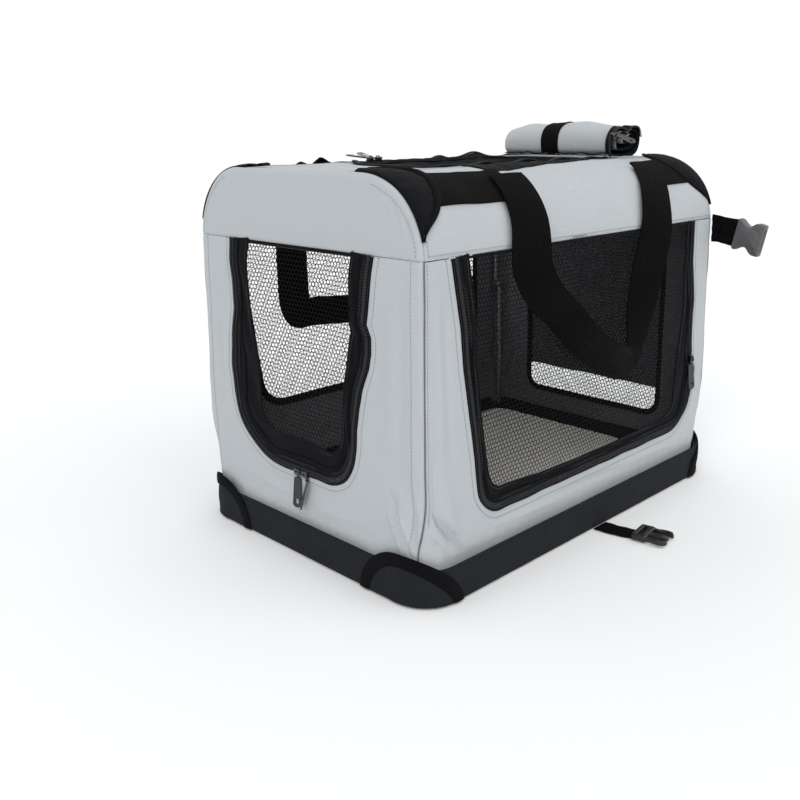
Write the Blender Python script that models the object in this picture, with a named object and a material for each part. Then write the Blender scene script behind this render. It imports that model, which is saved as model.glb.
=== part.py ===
"""Folding soft-sided pet carrier: fabric cover on two folding steel hoops over a stiff base tray.

Metres, +Z up. The origin is the centre of the base's underside. The zipped end door faces -X,
the zipped side door faces -Y, and the roof flap is rolled up at the rear, +X, end of the roof.
"""

import math

import bmesh
import bpy
from mathutils import Matrix, Vector

# Overall sizes
BASE_LENGTH = 0.600
BASE_WIDTH = 0.410
ROOF_HEIGHT = 0.455
COVER_END_INSET = 0.0075
COVER_SIDE_INSET = 0.0105
COVER_LENGTH = BASE_LENGTH - 2 * COVER_END_INSET
COVER_WIDTH = BASE_WIDTH - 2 * COVER_SIDE_INSET
SHOULDER_RADIUS = 0.085
SEAM_HEIGHT = ROOF_HEIGHT - SHOULDER_RADIUS
CLOTH = 0.003
GAP = 0.0003

# Base tray, its corner patches, board and mat
PATCH_THICKNESS = 0.0012
TRAY_HEIGHT = 0.042
TRAY_CORNER = 0.045
TRAY_INNER_CORNER = 0.033
TRAY_FLOOR = 0.004
TRAY_BOTTOM_EDGE = 0.003
TRAY_TOP_EDGE = 0.0015
PATCH_HEIGHT = 0.059
PATCH_FOOT = 0.0035
PATCH_END_REACH = 0.056
PATCH_SIDE_REACH = 0.012
BOARD_THICKNESS = 0.004
MAT_HEIGHT = 0.0225
MAT_MARGIN = 0.0065
MAT_CORNER = 0.030
MAT_CROWN = 0.004

# Steel frame
TUBE_RADIUS = 0.004
TUBE_SIDES = 12
HOOP_BEND = 0.075
EYE_RADIUS = 0.007
EYE_WIDTH = 0.0075
PIN_RADIUS = 0.0024
PIN_CLEARANCE = 0.0005
PIN_HEAD_RADIUS = 0.0045
PIN_HEAD_WIDTH = 0.0013
LAP_GAP = 0.0008
FRAME_ROOF_GAP = 0.0005
FRAME_SIDE_GAP = 0.0042
FRAME_END_GAP = 0.0052
BASE_PIVOT_HEIGHT = 0.030
BRACKET_WIDTH = 0.011
BRACKET_THICKNESS = 0.006
BASE_LOOP_CORNER = 0.012
SLEEVE_RADIUS = 0.0064
SLEEVE_BORE = 0.0045
SLEEVE_LENGTH = 0.015
ROOF_BAR_SPACING = 0.200

# Doors, windows, nets and zips
DOOR_THICKNESS = 0.002
ZIP_GAP = 0.0007
ZIP_TAPE_WIDTH = 0.011
ZIP_TAPE_THICKNESS = 0.0012
NET_STRAND = 0.0032
END_DOOR_TOP_WIDTH = 0.248
END_DOOR_FOOT_WIDTH = 0.204
END_DOOR_FOOT = 0.108
END_DOOR_CORNER = 0.066
SIDE_DOOR_TOP_FRONT = -0.248
SIDE_DOOR_FOOT_FRONT = -0.210
SIDE_DOOR_REAR = 0.241
SIDE_DOOR_FOOT = 0.078
SIDE_DOOR_CORNER = 0.046
WINDOW_TOP = 0.362
SIDE_WINDOW_FOOT = 0.118
REAR_WINDOW_FOOT = 0.062
DOOR_BORDER = 0.020
WINDOW_BORDER = 0.012
WINDOW_CORNER = 0.026
FLAP_FOOT = 0.107
FLAP_HALF_WIDTH = 0.132
FLAP_TOP_MARGIN = 0.006
FLAP_CORNER = 0.020
FLAP_THICKNESS = 0.0015
HATCH_FRONT = -0.140
HATCH_REAR = 0.178
HATCH_HALF_WIDTH = 0.090
HATCH_CORNER = 0.035
HATCH_BORDER = 0.014

# Zip sliders and their pulls
SLIDER_LENGTH = 0.010
SLIDER_WIDTH = 0.0075
SLIDER_HEIGHT = 0.0034
PULL_LENGTH = 0.042
PULL_WIDTH = 0.0066
PULL_THICKNESS = 0.0014
PULL_EYE_RADIUS = 0.0010
PULL_GAP = 0.0002
PULL_HOLE_LENGTH = 0.011
PULL_HOLE_WIDTH = 0.0034
END_SLIDER_SPACING = 0.013
SIDE_SLIDER_HEIGHT = 0.176

# Webbing, handles, roll and buckles
WEB_THICKNESS = 0.0022
HANDLE_WIDTH = 0.042
HANDLE_STANDOFF = 0.0042
HANDLE_TOP = ROOF_HEIGHT - 0.014
HANDLE_FRONT = -0.152
HANDLE_REAR = 0.110
HANDLE_DROP = 0.229
BAND_FRONT_END = -0.178
BAND_REAR_START = 0.140
BAND_LOW_ANGLE = 42
BAND_HIGH_ANGLE = 69
TOP_PATCH_REACH = 0.038
TOP_PATCH_LOW_ANGLE = 12
TOP_PATCH_HIGH_ANGLE = 94
ROLL_CENTRE = 0.218
ROLL_RADIUS = 0.0245
ROLL_TURNS = 2.3
ROLL_CLOTH = 0.0024
ROLL_PITCH = 0.0060
ROLL_HALF_WIDTH = 0.104
ROLL_STRAP_WIDTH = 0.023
ROLL_STRAP_OFFSET = 0.030
TAB_LENGTH = 0.031
TAB_HEIGHT = 0.038
TAB_THICKNESS = 0.002
TAB_MIDDLE = SEAM_HEIGHT - 0.014
BUCKLE_LENGTH = 0.042
BUCKLE_HEIGHT = 0.047
BUCKLE_THICKNESS = 0.012
BUCKLE_WALL = 0.0026
STRAP_WIDTH = 0.026
STRAP_START = 0.018
STRAP_LENGTH = 0.052
STRAP_THICKNESS = 0.0018
PLUG_LENGTH = 0.048
PLUG_THICKNESS = 0.010

# Places that follow from the sizes above
TRAY_HALF_LENGTH = BASE_LENGTH / 2 - PATCH_THICKNESS - GAP
TRAY_HALF_WIDTH = BASE_WIDTH / 2 - PATCH_THICKNESS - GAP
HALF_LENGTH = COVER_LENGTH / 2
HALF_WIDTH = COVER_WIDTH / 2
ROOF_HALF_WIDTH = HALF_WIDTH - SHOULDER_RADIUS
HOOP_X = HALF_LENGTH - CLOTH - FRAME_END_GAP - EYE_RADIUS
HOOP_Y = HALF_WIDTH - CLOTH - FRAME_SIDE_GAP - TUBE_RADIUS
LEG_Y = HOOP_Y - EYE_WIDTH - LAP_GAP
CROSSBAR_HEIGHT = ROOF_HEIGHT - CLOTH - FRAME_ROOF_GAP - SLEEVE_RADIUS
LINK_LENGTH = (CROSSBAR_HEIGHT - BASE_PIVOT_HEIGHT) / 2
KNEE_HEIGHT = BASE_PIVOT_HEIGHT + LINK_LENGTH
BASE_TUBE_HEIGHT = TRAY_FLOOR + GAP + TUBE_RADIUS
BASE_LOOP_Y = LEG_Y + EYE_WIDTH / 2
DOOR_TOP = SEAM_HEIGHT - GAP
WALL_FOOT = TRAY_HEIGHT - 0.009
BAND_REACH = HALF_LENGTH - CLOTH - 2 * GAP - TOP_PATCH_REACH
MAT_BASE = TRAY_FLOOR + GAP + BOARD_THICKNESS + GAP
MAT_HALF_LENGTH = HOOP_X - TUBE_RADIUS - MAT_MARGIN
MAT_HALF_WIDTH = BASE_LOOP_Y - TUBE_RADIUS - MAT_MARGIN


def material(name, colour, roughness, metallic=0.0):
    shader = bpy.data.materials.new(name)
    shader.use_nodes = True
    node = shader.node_tree.nodes["Principled BSDF"]
    node.inputs["Base Color"].default_value = (*colour, 1.0)
    node.inputs["Roughness"].default_value = roughness
    node.inputs["Metallic"].default_value = metallic
    shader.diffuse_color = (*colour, 1.0)
    return shader


def finishes():
    return {
        "grey_cloth": material("grey_cloth", (0.54, 0.56, 0.58), 0.75),
        "black_cloth": material("black_cloth", (0.018, 0.019, 0.022), 0.70),
        "black_net": material("black_net", (0.012, 0.012, 0.014), 0.60),
        "webbing": material("webbing", (0.015, 0.015, 0.016), 0.65),
        "steel": material("steel", (0.42, 0.43, 0.45), 0.30, 1.0),
        "zip_metal": material("zip_metal", (0.030, 0.030, 0.032), 0.40),
        "buckle_plastic": material("buckle_plastic", (0.11, 0.11, 0.115), 0.45),
        "fleece": material("fleece", (0.55, 0.50, 0.44), 0.95),
        "board": material("board", (0.10, 0.09, 0.08), 0.80),
    }


def remember_pivot(pivots, name, place, parent=None):
    """An empty on a joint's axis, which its moving pieces are parented to."""
    empty = bpy.data.objects.new(name, None)
    empty.empty_display_size = 0.02
    bpy.context.scene.collection.objects.link(empty)
    start = Vector((0, 0, 0))
    if parent:
        empty.parent = pivots[parent][0]
        start = pivots[parent][1]
    empty.location = Vector(place) - start
    pivots[name] = (empty, Vector(place))


def attach(piece, pivots, name):
    """Hang a piece that was made in place on its joint's empty."""
    empty, place = pivots[name]
    piece.parent = empty
    piece.location = piece.location - place
    return piece


def shown(name, mesh, finish, smooth=False):
    """Put a mesh in the scene as the named piece."""
    piece = bpy.data.objects.new(name, mesh)
    bpy.context.scene.collection.objects.link(piece)
    if not mesh.materials:
        mesh.materials.append(finish)
    if smooth:
        mesh.shade_smooth()
        mesh.set_sharp_from_angle(angle=math.radians(35))
    return piece


def finished(bm, name):
    bmesh.ops.remove_doubles(bm, verts=bm.verts, dist=0.000002)
    bmesh.ops.recalc_face_normals(bm, faces=bm.faces)
    mesh = bpy.data.meshes.new(name)
    bm.to_mesh(mesh)
    bm.free()
    return mesh


def in_plane(axis, u, v, w):
    """A point given by its place in a flat pattern, u and v, and its level w along the axis."""
    if axis == "x":
        return Vector((w, u, v))
    if axis == "y":
        return Vector((u, w, v))
    return Vector((u, v, w))


def prism(name, outline, axis, low, high):
    """A flat pattern with straight sides, from one level to another along an axis."""
    bm = bmesh.new()
    ring = [bm.verts.new(in_plane(axis, u, v, low)) for u, v in outline]
    face = bm.faces.new(ring)
    raised = bmesh.ops.extrude_face_region(bm, geom=[face])
    moved = [item for item in raised["geom"] if isinstance(item, bmesh.types.BMVert)]
    bmesh.ops.translate(bm, verts=moved, vec=in_plane(axis, 0, 0, high - low))
    return finished(bm, name)


def prisms(name, outlines, axis, low, high):
    """Several flat patterns side by side in one mesh, used as a cutter."""
    bm = bmesh.new()
    for outline in outlines:
        ring = [bm.verts.new(in_plane(axis, u, v, low)) for u, v in outline]
        face = bm.faces.new(ring)
        raised = bmesh.ops.extrude_face_region(bm, geom=[face])
        moved = [item for item in raised["geom"] if isinstance(item, bmesh.types.BMVert)]
        bmesh.ops.translate(bm, verts=moved, vec=in_plane(axis, 0, 0, high - low))
    return finished(bm, name)


def loft(name, rings):
    """Skin over rings of equally many points, closed by a face at each end."""
    bm = bmesh.new()
    rows = [[bm.verts.new(point) for point in ring] for ring in rings]
    count = len(rows[0])
    for lower, upper in zip(rows, rows[1:]):
        for i in range(count):
            j = (i + 1) % count
            bm.faces.new((lower[i], lower[j], upper[j], upper[i]))
    bm.faces.new(rows[0])
    bm.faces.new(rows[-1])
    return finished(bm, name)


def cylinder(radius, length, axis, centre, sides=16):
    bm = bmesh.new()
    bmesh.ops.create_cone(
        bm, cap_ends=True, segments=sides, radius1=radius, radius2=radius, depth=length
    )
    turn = {"x": Matrix.Rotation(math.pi / 2, 4, "Y"), "y": Matrix.Rotation(math.pi / 2, 4, "X")}
    if axis in turn:
        bmesh.ops.transform(bm, matrix=turn[axis], verts=bm.verts)
    bmesh.ops.translate(bm, verts=bm.verts, vec=Vector(centre))
    return finished(bm, "cylinder")


def block(low, high):
    outline = [(low[0], low[1]), (high[0], low[1]), (high[0], high[1]), (low[0], high[1])]
    return prism("block", outline, "z", low[2], high[2])


def tube(points, closed=False, radius=TUBE_RADIUS, sides=TUBE_SIDES):
    """A bent tube: a bevelled curve along the points, turned into a mesh."""
    curve = bpy.data.curves.new("tube", "CURVE")
    curve.dimensions = "3D"
    curve.bevel_depth = radius
    curve.bevel_resolution = sides // 4 - 1
    curve.use_fill_caps = not closed
    spline = curve.splines.new("POLY")
    spline.points.add(len(points) - 1)
    for target, point in zip(spline.points, points):
        target.co = (*point, 1.0)
    spline.use_cyclic_u = closed
    holder = bpy.data.objects.new("tube", curve)
    bpy.context.scene.collection.objects.link(holder)
    bpy.context.view_layer.update()
    mesh = bpy.data.meshes.new_from_object(holder.evaluated_get(bpy.context.evaluated_depsgraph_get()))
    bpy.data.objects.remove(holder)
    mesh.materials.clear()
    bm = bmesh.new()
    bm.from_mesh(mesh)
    return finished(bm, "tube")


def combined(mesh, operation, others):
    """The mesh after a Boolean with each of the others in turn."""
    base = bpy.data.objects.new("base", mesh)
    bpy.context.scene.collection.objects.link(base)
    for other in others:
        helper = bpy.data.objects.new("helper", other)
        helper.hide_render = True
        helper.display_type = "WIRE"
        bpy.context.scene.collection.objects.link(helper)
        step = base.modifiers.new("step", "BOOLEAN")
        step.operation = operation
        step.object = helper
        bpy.context.view_layer.update()
        evaluated = base.evaluated_get(bpy.context.evaluated_depsgraph_get())
        result = bpy.data.meshes.new_from_object(evaluated)
        base.modifiers.remove(step)
        base.data = result
        bpy.data.objects.remove(helper)
    mesh = base.data
    bpy.data.objects.remove(base)
    mesh.materials.clear()
    return mesh


def mirrored(mesh, flips):
    """A copy of a mesh mirrored through the planes named in flips, facing outwards."""
    bm = bmesh.new()
    bm.from_mesh(mesh)
    scale = Vector((-1 if "x" in flips else 1, -1 if "y" in flips else 1, 1))
    bmesh.ops.scale(bm, vec=scale, verts=bm.verts)
    return finished(bm, mesh.name)


def arc(centre, radius, start, end, steps):
    """Points on an arc, angles in degrees from +u towards +v."""
    points = []
    for i in range(steps + 1):
        angle = math.radians(start + (end - start) * i / steps)
        points.append((centre[0] + radius * math.cos(angle), centre[1] + radius * math.sin(angle)))
    return points


def rounded(corners, closed=True, steps=6):
    """Corner points (u, v, radius) joined by straight lines, each corner rounded by its radius."""
    points = []
    count = len(corners)
    for i, (u, v, radius) in enumerate(corners):
        if radius == 0 or (not closed and i in (0, count - 1)):
            points.append((u, v))
            continue
        here = Vector((u, v))
        back = (Vector(corners[i - 1][:2]) - here).normalized()
        ahead = (Vector(corners[(i + 1) % count][:2]) - here).normalized()
        half = back.angle(ahead) / 2
        centre = here + (back + ahead).normalized() * radius / math.sin(half)
        first = here + back * radius / math.tan(half) - centre
        last = here + ahead * radius / math.tan(half) - centre
        sweep = first.angle_signed(last)
        for k in range(steps + 1):
            spoke = first.copy()
            spoke.rotate(Matrix.Rotation(-sweep * k / steps, 2))
            points.append(tuple(centre + spoke))
    return points


def offset(path, distance, closed=True):
    """The path moved sideways to its left by a distance, corners mitred."""
    moved = []
    count = len(path)
    for i, point in enumerate(path):
        before = path[i - 1] if closed or i else None
        after = path[(i + 1) % count] if closed or i < count - 1 else None
        here = Vector(point)
        sides = []
        if before is not None:
            step = (here - Vector(before)).normalized()
            sides.append(Vector((-step.y, step.x)))
        if after is not None:
            step = (Vector(after) - here).normalized()
            sides.append(Vector((-step.y, step.x)))
        middle = sum(sides, Vector((0, 0))).normalized()
        moved.append(tuple(here + middle * distance / middle.dot(sides[0])))
    return moved


def clipped(polygon, fence):
    """The part of a polygon inside a convex fence that runs anticlockwise."""
    for i, start in enumerate(fence):
        a = Vector(start)
        edge = Vector(fence[(i + 1) % len(fence)]) - a
        kept = []
        for j, point in enumerate(polygon):
            before = Vector(polygon[j - 1])
            here = Vector(point)
            side_before = edge.cross(before - a)
            side_here = edge.cross(here - a)
            if side_before * side_here < 0:
                share = side_before / (side_before - side_here)
                kept.append(tuple(before.lerp(here, share)))
            if side_here >= 0:
                kept.append(point)
        polygon = kept
        if len(polygon) < 3:
            return []
    return polygon


def area(polygon):
    total = 0.0
    for i, (u, v) in enumerate(polygon):
        total += polygon[i - 1][0] * v - u * polygon[i - 1][1]
    return abs(total) / 2


def net_panel(name, outline, axis, low, high, border, columns, rows):
    """A bound net: a flat panel whose middle is pierced by a grid of square gaps.

    The outline runs anticlockwise, and gaps that its corners would leave as slivers are not cut.
    """
    fence = offset(outline, border)
    us = [u for u, v in fence]
    vs = [v for u, v in fence]
    step_u = (max(us) - min(us) + NET_STRAND) / columns
    step_v = (max(vs) - min(vs) + NET_STRAND) / rows
    full = (step_u - NET_STRAND) * (step_v - NET_STRAND)
    gaps = []
    for i in range(columns):
        for j in range(rows):
            u = min(us) + i * step_u
            v = min(vs) + j * step_v
            far_u = u + step_u - NET_STRAND
            far_v = v + step_v - NET_STRAND
            gap = clipped([(u, v), (far_u, v), (far_u, far_v), (u, far_v)], fence)
            if gap and area(gap) > 0.3 * full:
                gaps.append(gap)
    plate = prism(name, outline, axis, low, high)
    cutter = prisms("gaps", gaps, axis, low - CLOTH, high + CLOTH)
    return combined(plate, "DIFFERENCE", [cutter])


def rounded_rectangle(half_u, half_v, radius, steps=6):
    corners = [(-half_u, -half_v), (half_u, -half_v), (half_u, half_v), (-half_u, half_v)]
    return rounded([(u, v, radius) for u, v in corners], steps=steps)


def ring_at(half_u, half_v, radius, height, steps=6):
    return [(u, v, height) for u, v in rounded_rectangle(half_u, half_v, radius, steps)]


def end_doorway():
    """The U of the end door, from its top left corner round its foot to its top right one."""
    top = END_DOOR_TOP_WIDTH / 2
    foot = END_DOOR_FOOT_WIDTH / 2
    return rounded(
        [
            (-top, DOOR_TOP, 0),
            (-foot, END_DOOR_FOOT, END_DOOR_CORNER),
            (foot, END_DOOR_FOOT, END_DOOR_CORNER),
            (top, DOOR_TOP, 0),
        ],
        closed=False,
        steps=8,
    )


def side_doorway():
    """The U of the side door, whose front edge slants."""
    return rounded(
        [
            (SIDE_DOOR_TOP_FRONT, DOOR_TOP, 0),
            (SIDE_DOOR_FOOT_FRONT, SIDE_DOOR_FOOT, SIDE_DOOR_CORNER),
            (SIDE_DOOR_REAR, SIDE_DOOR_FOOT, SIDE_DOOR_CORNER),
            (SIDE_DOOR_REAR, DOOR_TOP, 0),
        ],
        closed=False,
        steps=8,
    )


def hatchway():
    """The U of the roof hatch, from its rear right corner round the front to its rear left one."""
    return rounded(
        [
            (HATCH_REAR, HATCH_HALF_WIDTH, 0),
            (HATCH_FRONT, HATCH_HALF_WIDTH, HATCH_CORNER),
            (HATCH_FRONT, -HATCH_HALF_WIDTH, HATCH_CORNER),
            (HATCH_REAR, -HATCH_HALF_WIDTH, 0),
        ],
        closed=False,
        steps=6,
    )


def zip_strip(path):
    """The pattern of a zip's outer tape along the outside of a doorway."""
    return offset(path, -ZIP_TAPE_WIDTH, closed=False) + offset(path, -GAP, closed=False)[::-1]


def end_window():
    """The window of the rear wall, a closed outline that goes lower than the end door's."""
    top = END_DOOR_TOP_WIDTH / 2
    foot = END_DOOR_FOOT_WIDTH / 2
    corners = [
        (-top, WINDOW_TOP, WINDOW_CORNER),
        (-foot, REAR_WINDOW_FOOT, WINDOW_CORNER),
        (foot, REAR_WINDOW_FOOT, WINDOW_CORNER),
        (top, WINDOW_TOP, WINDOW_CORNER),
    ]
    return rounded(corners, steps=5)


def side_window():
    """The window of the left wall, a closed outline like the side door's with a higher foot."""
    corners = [
        (SIDE_DOOR_TOP_FRONT, WINDOW_TOP, WINDOW_CORNER),
        (SIDE_DOOR_FOOT_FRONT, SIDE_WINDOW_FOOT, SIDE_DOOR_CORNER),
        (SIDE_DOOR_REAR, SIDE_WINDOW_FOOT, SIDE_DOOR_CORNER),
        (SIDE_DOOR_REAR, WINDOW_TOP, WINDOW_CORNER),
    ]
    return rounded(corners, steps=5)


def wall_foot(half):
    """One wall's lower edge, its ends drawn in to follow the tray's round corners."""
    inset = TRAY_CORNER - (BASE_LENGTH - COVER_LENGTH) / 2
    left = [
        (-half, PATCH_HEIGHT + 4 * CLOTH),
        (-half + inset * 0.4, PATCH_HEIGHT + GAP),
        (-half + inset, TRAY_HEIGHT + GAP),
        (-half + inset, WALL_FOOT),
    ]
    return left + [(-u, v) for u, v in left[::-1]]


def base_pieces(finish):
    """Tray, board, mat and base tube loop with its four pivot brackets."""
    inner_length = HALF_LENGTH + GAP
    inner_width = HALF_WIDTH + GAP
    rings = []
    for inset, height in (
        (TRAY_BOTTOM_EDGE, 0.0),
        (0.0, TRAY_BOTTOM_EDGE),
        (0.0, TRAY_HEIGHT - TRAY_TOP_EDGE),
        (TRAY_TOP_EDGE, TRAY_HEIGHT),
    ):
        rings.append(
            ring_at(TRAY_HALF_LENGTH - inset, TRAY_HALF_WIDTH - inset, TRAY_CORNER - inset, height)
        )
    for height in (TRAY_HEIGHT, TRAY_FLOOR):
        rings.append(ring_at(inner_length, inner_width, TRAY_INNER_CORNER, height))
    shown("base_tray", loft("base_tray", rings), finish["black_cloth"])

    board_half_length = HOOP_X - TUBE_RADIUS - GAP
    board_half_width = BASE_LOOP_Y - TUBE_RADIUS - GAP
    board = rounded_rectangle(board_half_length, board_half_width, BASE_LOOP_CORNER)
    board_low = TRAY_FLOOR + GAP
    shown(
        "floor_board",
        prism("floor_board", board, "z", board_low, board_low + BOARD_THICKNESS),
        finish["board"],
    )
    shown("floor_mat", mat_mesh(), finish["fleece"], smooth=True)

    loop = rounded_rectangle(HOOP_X, BASE_LOOP_Y, BASE_LOOP_CORNER, steps=4)
    frame = tube([(u, v, BASE_TUBE_HEIGHT) for u, v in loop], closed=True)
    additions = []
    for end in (-1, 1):
        for side in (-1, 1):
            additions += bracket(end, side)
    frame = combined(frame, "UNION", additions)
    shown("base_frame", frame, finish["steel"], smooth=True)


def bracket(end, side):
    """The upright plate on the base loop and the headed pin that a lower leg turns on."""
    inner = LEG_Y + EYE_WIDTH / 2 + LAP_GAP
    outer = inner + BRACKET_THICKNESS
    middle = end * (HOOP_X - BRACKET_WIDTH / 2 + PIN_RADIUS + 0.001)
    outline = rounded(
        [
            (middle - BRACKET_WIDTH / 2, BASE_TUBE_HEIGHT - 0.001, 0),
            (middle + BRACKET_WIDTH / 2, BASE_TUBE_HEIGHT - 0.001, 0),
            (middle + BRACKET_WIDTH / 2, BASE_PIVOT_HEIGHT + 0.006, 0.003),
            (middle - BRACKET_WIDTH / 2, BASE_PIVOT_HEIGHT + 0.006, 0.003),
        ],
        steps=3,
    )
    low, high = sorted((side * inner, side * outer))
    plate = prism("bracket", outline, "y", low, high)
    return [plate] + pin(end * HOOP_X, side, inner + 0.001, BASE_PIVOT_HEIGHT)


def pin(x, side, root, height):
    """A headed pin that points inwards from its root and leaves room for one eye."""
    head_face = LEG_Y - EYE_WIDTH / 2 - GAP
    length = root - head_face + PIN_HEAD_WIDTH / 2
    middle = side * (root - length / 2)
    shank = cylinder(PIN_RADIUS, length, "y", (x, middle, height), sides=12)
    head_middle = side * (head_face - PIN_HEAD_WIDTH / 2)
    head = cylinder(PIN_HEAD_RADIUS, PIN_HEAD_WIDTH, "y", (x, head_middle, height), sides=12)
    return [shank, head]


def mat_mesh():
    """A fleece pad: crowned in the middle, with a rounded edge and drawn-in sides."""
    rings = []
    crown = MAT_HEIGHT - MAT_CROWN
    for inset, rise in (
        (0.006, 0.0),
        (0.001, crown * 0.28),
        (0.000, crown * 0.55),
        (0.003, crown * 0.86),
        (0.012, crown),
        (0.045, crown + MAT_CROWN * 0.55),
        (0.110, crown + MAT_CROWN),
    ):
        rings.append(bowed_ring(inset, MAT_BASE + rise))
    return loft("floor_mat", rings)


def bowed_ring(inset, height):
    """One ring of the mat, whose long sides bow in a little between the corners."""
    half_length = MAT_HALF_LENGTH - inset
    half_width = MAT_HALF_WIDTH - inset
    radius = max(MAT_CORNER - inset, 0.006)
    points = []
    sides = 6
    for a, b in ((-1, -1), (1, -1), (1, 1), (-1, 1)):
        start = math.degrees(math.atan2(b, a)) - 45
        centre = (a * (half_length - radius), b * (half_width - radius))
        points += arc(centre, radius, start, start + 90, 4)
        begin = points[-1]
        turn = {(-1, -1): (1, -1), (1, -1): (1, 1), (1, 1): (-1, 1), (-1, 1): (-1, -1)}[(a, b)]
        if turn[0] == a:
            finish_point = (turn[0] * half_length, turn[1] * (half_width - radius))
        else:
            finish_point = (turn[0] * (half_length - radius), turn[1] * half_width)
        for k in range(1, sides):
            share = k / sides
            u = begin[0] + (finish_point[0] - begin[0]) * share
            v = begin[1] + (finish_point[1] - begin[1]) * share
            drawn = 1 - 0.012 * math.sin(math.pi * share)
            points.append((u * drawn if turn[0] == a else u, v if turn[0] == a else v * drawn))
    return [(u, v, height) for u, v in points]


def base_patches(finish):
    """A domed reinforcing patch round each corner of the tray."""
    master = base_patch_mesh()
    for end, end_word in ((-1, "front"), (1, "rear")):
        for side, side_word in ((-1, "right"), (1, "left")):
            flips = ("x" if end < 0 else "") + ("y" if side < 0 else "")
            mesh = mirrored(master, flips)
            shown(f"base_patch_{end_word}_{side_word}", mesh, finish["black_cloth"])


def base_patch_mesh():
    """The patch at +X +Y: a thin shell that follows the tray's corner, with a domed upper edge."""
    run = PATCH_END_REACH + TRAY_CORNER * math.pi / 2 + PATCH_SIDE_REACH
    columns = 22
    bm = bmesh.new()
    rows = []
    for i in range(columns + 1):
        share = i / columns
        height = PATCH_FOOT + 0.003 + (PATCH_HEIGHT - PATCH_FOOT - 0.003) * dome(share)
        inner = patch_point(share * run, GAP)
        outer = patch_point(share * run, GAP + PATCH_THICKNESS)
        rows.append(
            [
                bm.verts.new((*inner, PATCH_FOOT)),
                bm.verts.new((*outer, PATCH_FOOT)),
                bm.verts.new((*outer, height)),
                bm.verts.new((*inner, height)),
            ]
        )
    for near, far in zip(rows, rows[1:]):
        for i in range(4):
            j = (i + 1) % 4
            bm.faces.new((near[i], near[j], far[j], far[i]))
    bm.faces.new(rows[0])
    bm.faces.new(rows[-1])
    return finished(bm, "base_patch")


def dome(share):
    """Height of the patch's edge along its run, from 0 at the ends to 1, fullest past the middle."""
    return math.sin(math.pi * share ** 0.86) ** 0.62 if 0 < share < 1 else 0.0


def patch_point(distance, out):
    """A point on the tray's side, a distance along its perimeter from the patch's end on +X."""
    u_end = TRAY_HALF_LENGTH + out
    v_side = TRAY_HALF_WIDTH + out
    bend = TRAY_CORNER * math.pi / 2
    if distance < PATCH_END_REACH:
        return (u_end, TRAY_HALF_WIDTH - TRAY_CORNER - PATCH_END_REACH + distance)
    if distance < PATCH_END_REACH + bend:
        angle = (distance - PATCH_END_REACH) / TRAY_CORNER
        radius = TRAY_CORNER + out
        centre = (TRAY_HALF_LENGTH - TRAY_CORNER, TRAY_HALF_WIDTH - TRAY_CORNER)
        return (centre[0] + radius * math.cos(angle), centre[1] + radius * math.sin(angle))
    return (TRAY_HALF_LENGTH - TRAY_CORNER - (distance - PATCH_END_REACH - bend), v_side)


def cover_walls(finish):
    """The four fabric walls with their doorways and windows, and the two fixed nets."""
    arch = arc((ROOF_HALF_WIDTH, SEAM_HEIGHT), SHOULDER_RADIUS, 0, 90, 10)
    end_outline = wall_foot(HALF_WIDTH) + arch + [(-u, v) for u, v in arch[::-1]]
    outer = HALF_LENGTH
    inner = HALF_LENGTH - CLOTH
    through = 2 * CLOTH
    door_cut = prism("cut", end_doorway(), "x", -outer - through, -inner + through)
    front = prism("front_wall", end_outline, "x", -outer, -inner)
    front = combined(front, "DIFFERENCE", [door_cut])
    shown("front_wall", front, finish["grey_cloth"])

    window_cut = prism("cut", end_window(), "x", inner - through, outer + through)
    rear = prism("rear_wall", end_outline, "x", inner, outer)
    rear = combined(rear, "DIFFERENCE", [window_cut])
    shown("rear_wall", rear, finish["grey_cloth"])
    rear_net = net_panel(
        "rear_window",
        offset(end_window(), GAP),
        "x",
        inner + CLOTH / 2 - DOOR_THICKNESS / 2,
        inner + CLOTH / 2 + DOOR_THICKNESS / 2,
        WINDOW_BORDER,
        8,
        8,
    )
    shown("rear_window", rear_net, finish["black_net"])
    shown("rear_flap", flap_mesh(), finish["grey_cloth"])

    reach = HALF_LENGTH - CLOTH - GAP
    foot = wall_foot(reach)
    outer = HALF_WIDTH
    inner = HALF_WIDTH - CLOTH
    right_outline = foot + [(reach, DOOR_TOP)] + side_doorway()[::-1] + [(-reach, DOOR_TOP)]
    shown("right_wall", prism("right_wall", right_outline, "y", -outer, -inner), finish["grey_cloth"])
    left_outline = foot + [(reach, DOOR_TOP), (-reach, DOOR_TOP)]
    left = prism("left_wall", left_outline, "y", inner, outer)
    window_cut = prism("cut", side_window(), "y", inner - through, outer + through)
    left = combined(left, "DIFFERENCE", [window_cut])
    shown("left_wall", left, finish["grey_cloth"])
    left_net = net_panel(
        "left_window",
        offset(side_window(), GAP),
        "y",
        inner + CLOTH / 2 - DOOR_THICKNESS / 2,
        inner + CLOTH / 2 + DOOR_THICKNESS / 2,
        WINDOW_BORDER,
        10,
        6,
    )
    shown("left_window", left_net, finish["black_net"])


def flap_mesh():
    """The privacy flap that hangs outside the rear window and leaves a strip open at its foot."""
    top = WINDOW_TOP + FLAP_TOP_MARGIN
    half = FLAP_HALF_WIDTH
    corners = [(-half, top, 0), (-half, FLAP_FOOT, FLAP_CORNER), (half, FLAP_FOOT, FLAP_CORNER), (half, top, 0)]
    near = HALF_LENGTH + GAP
    return prism("rear_flap", rounded(corners), "x", near, near + FLAP_THICKNESS)


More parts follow.
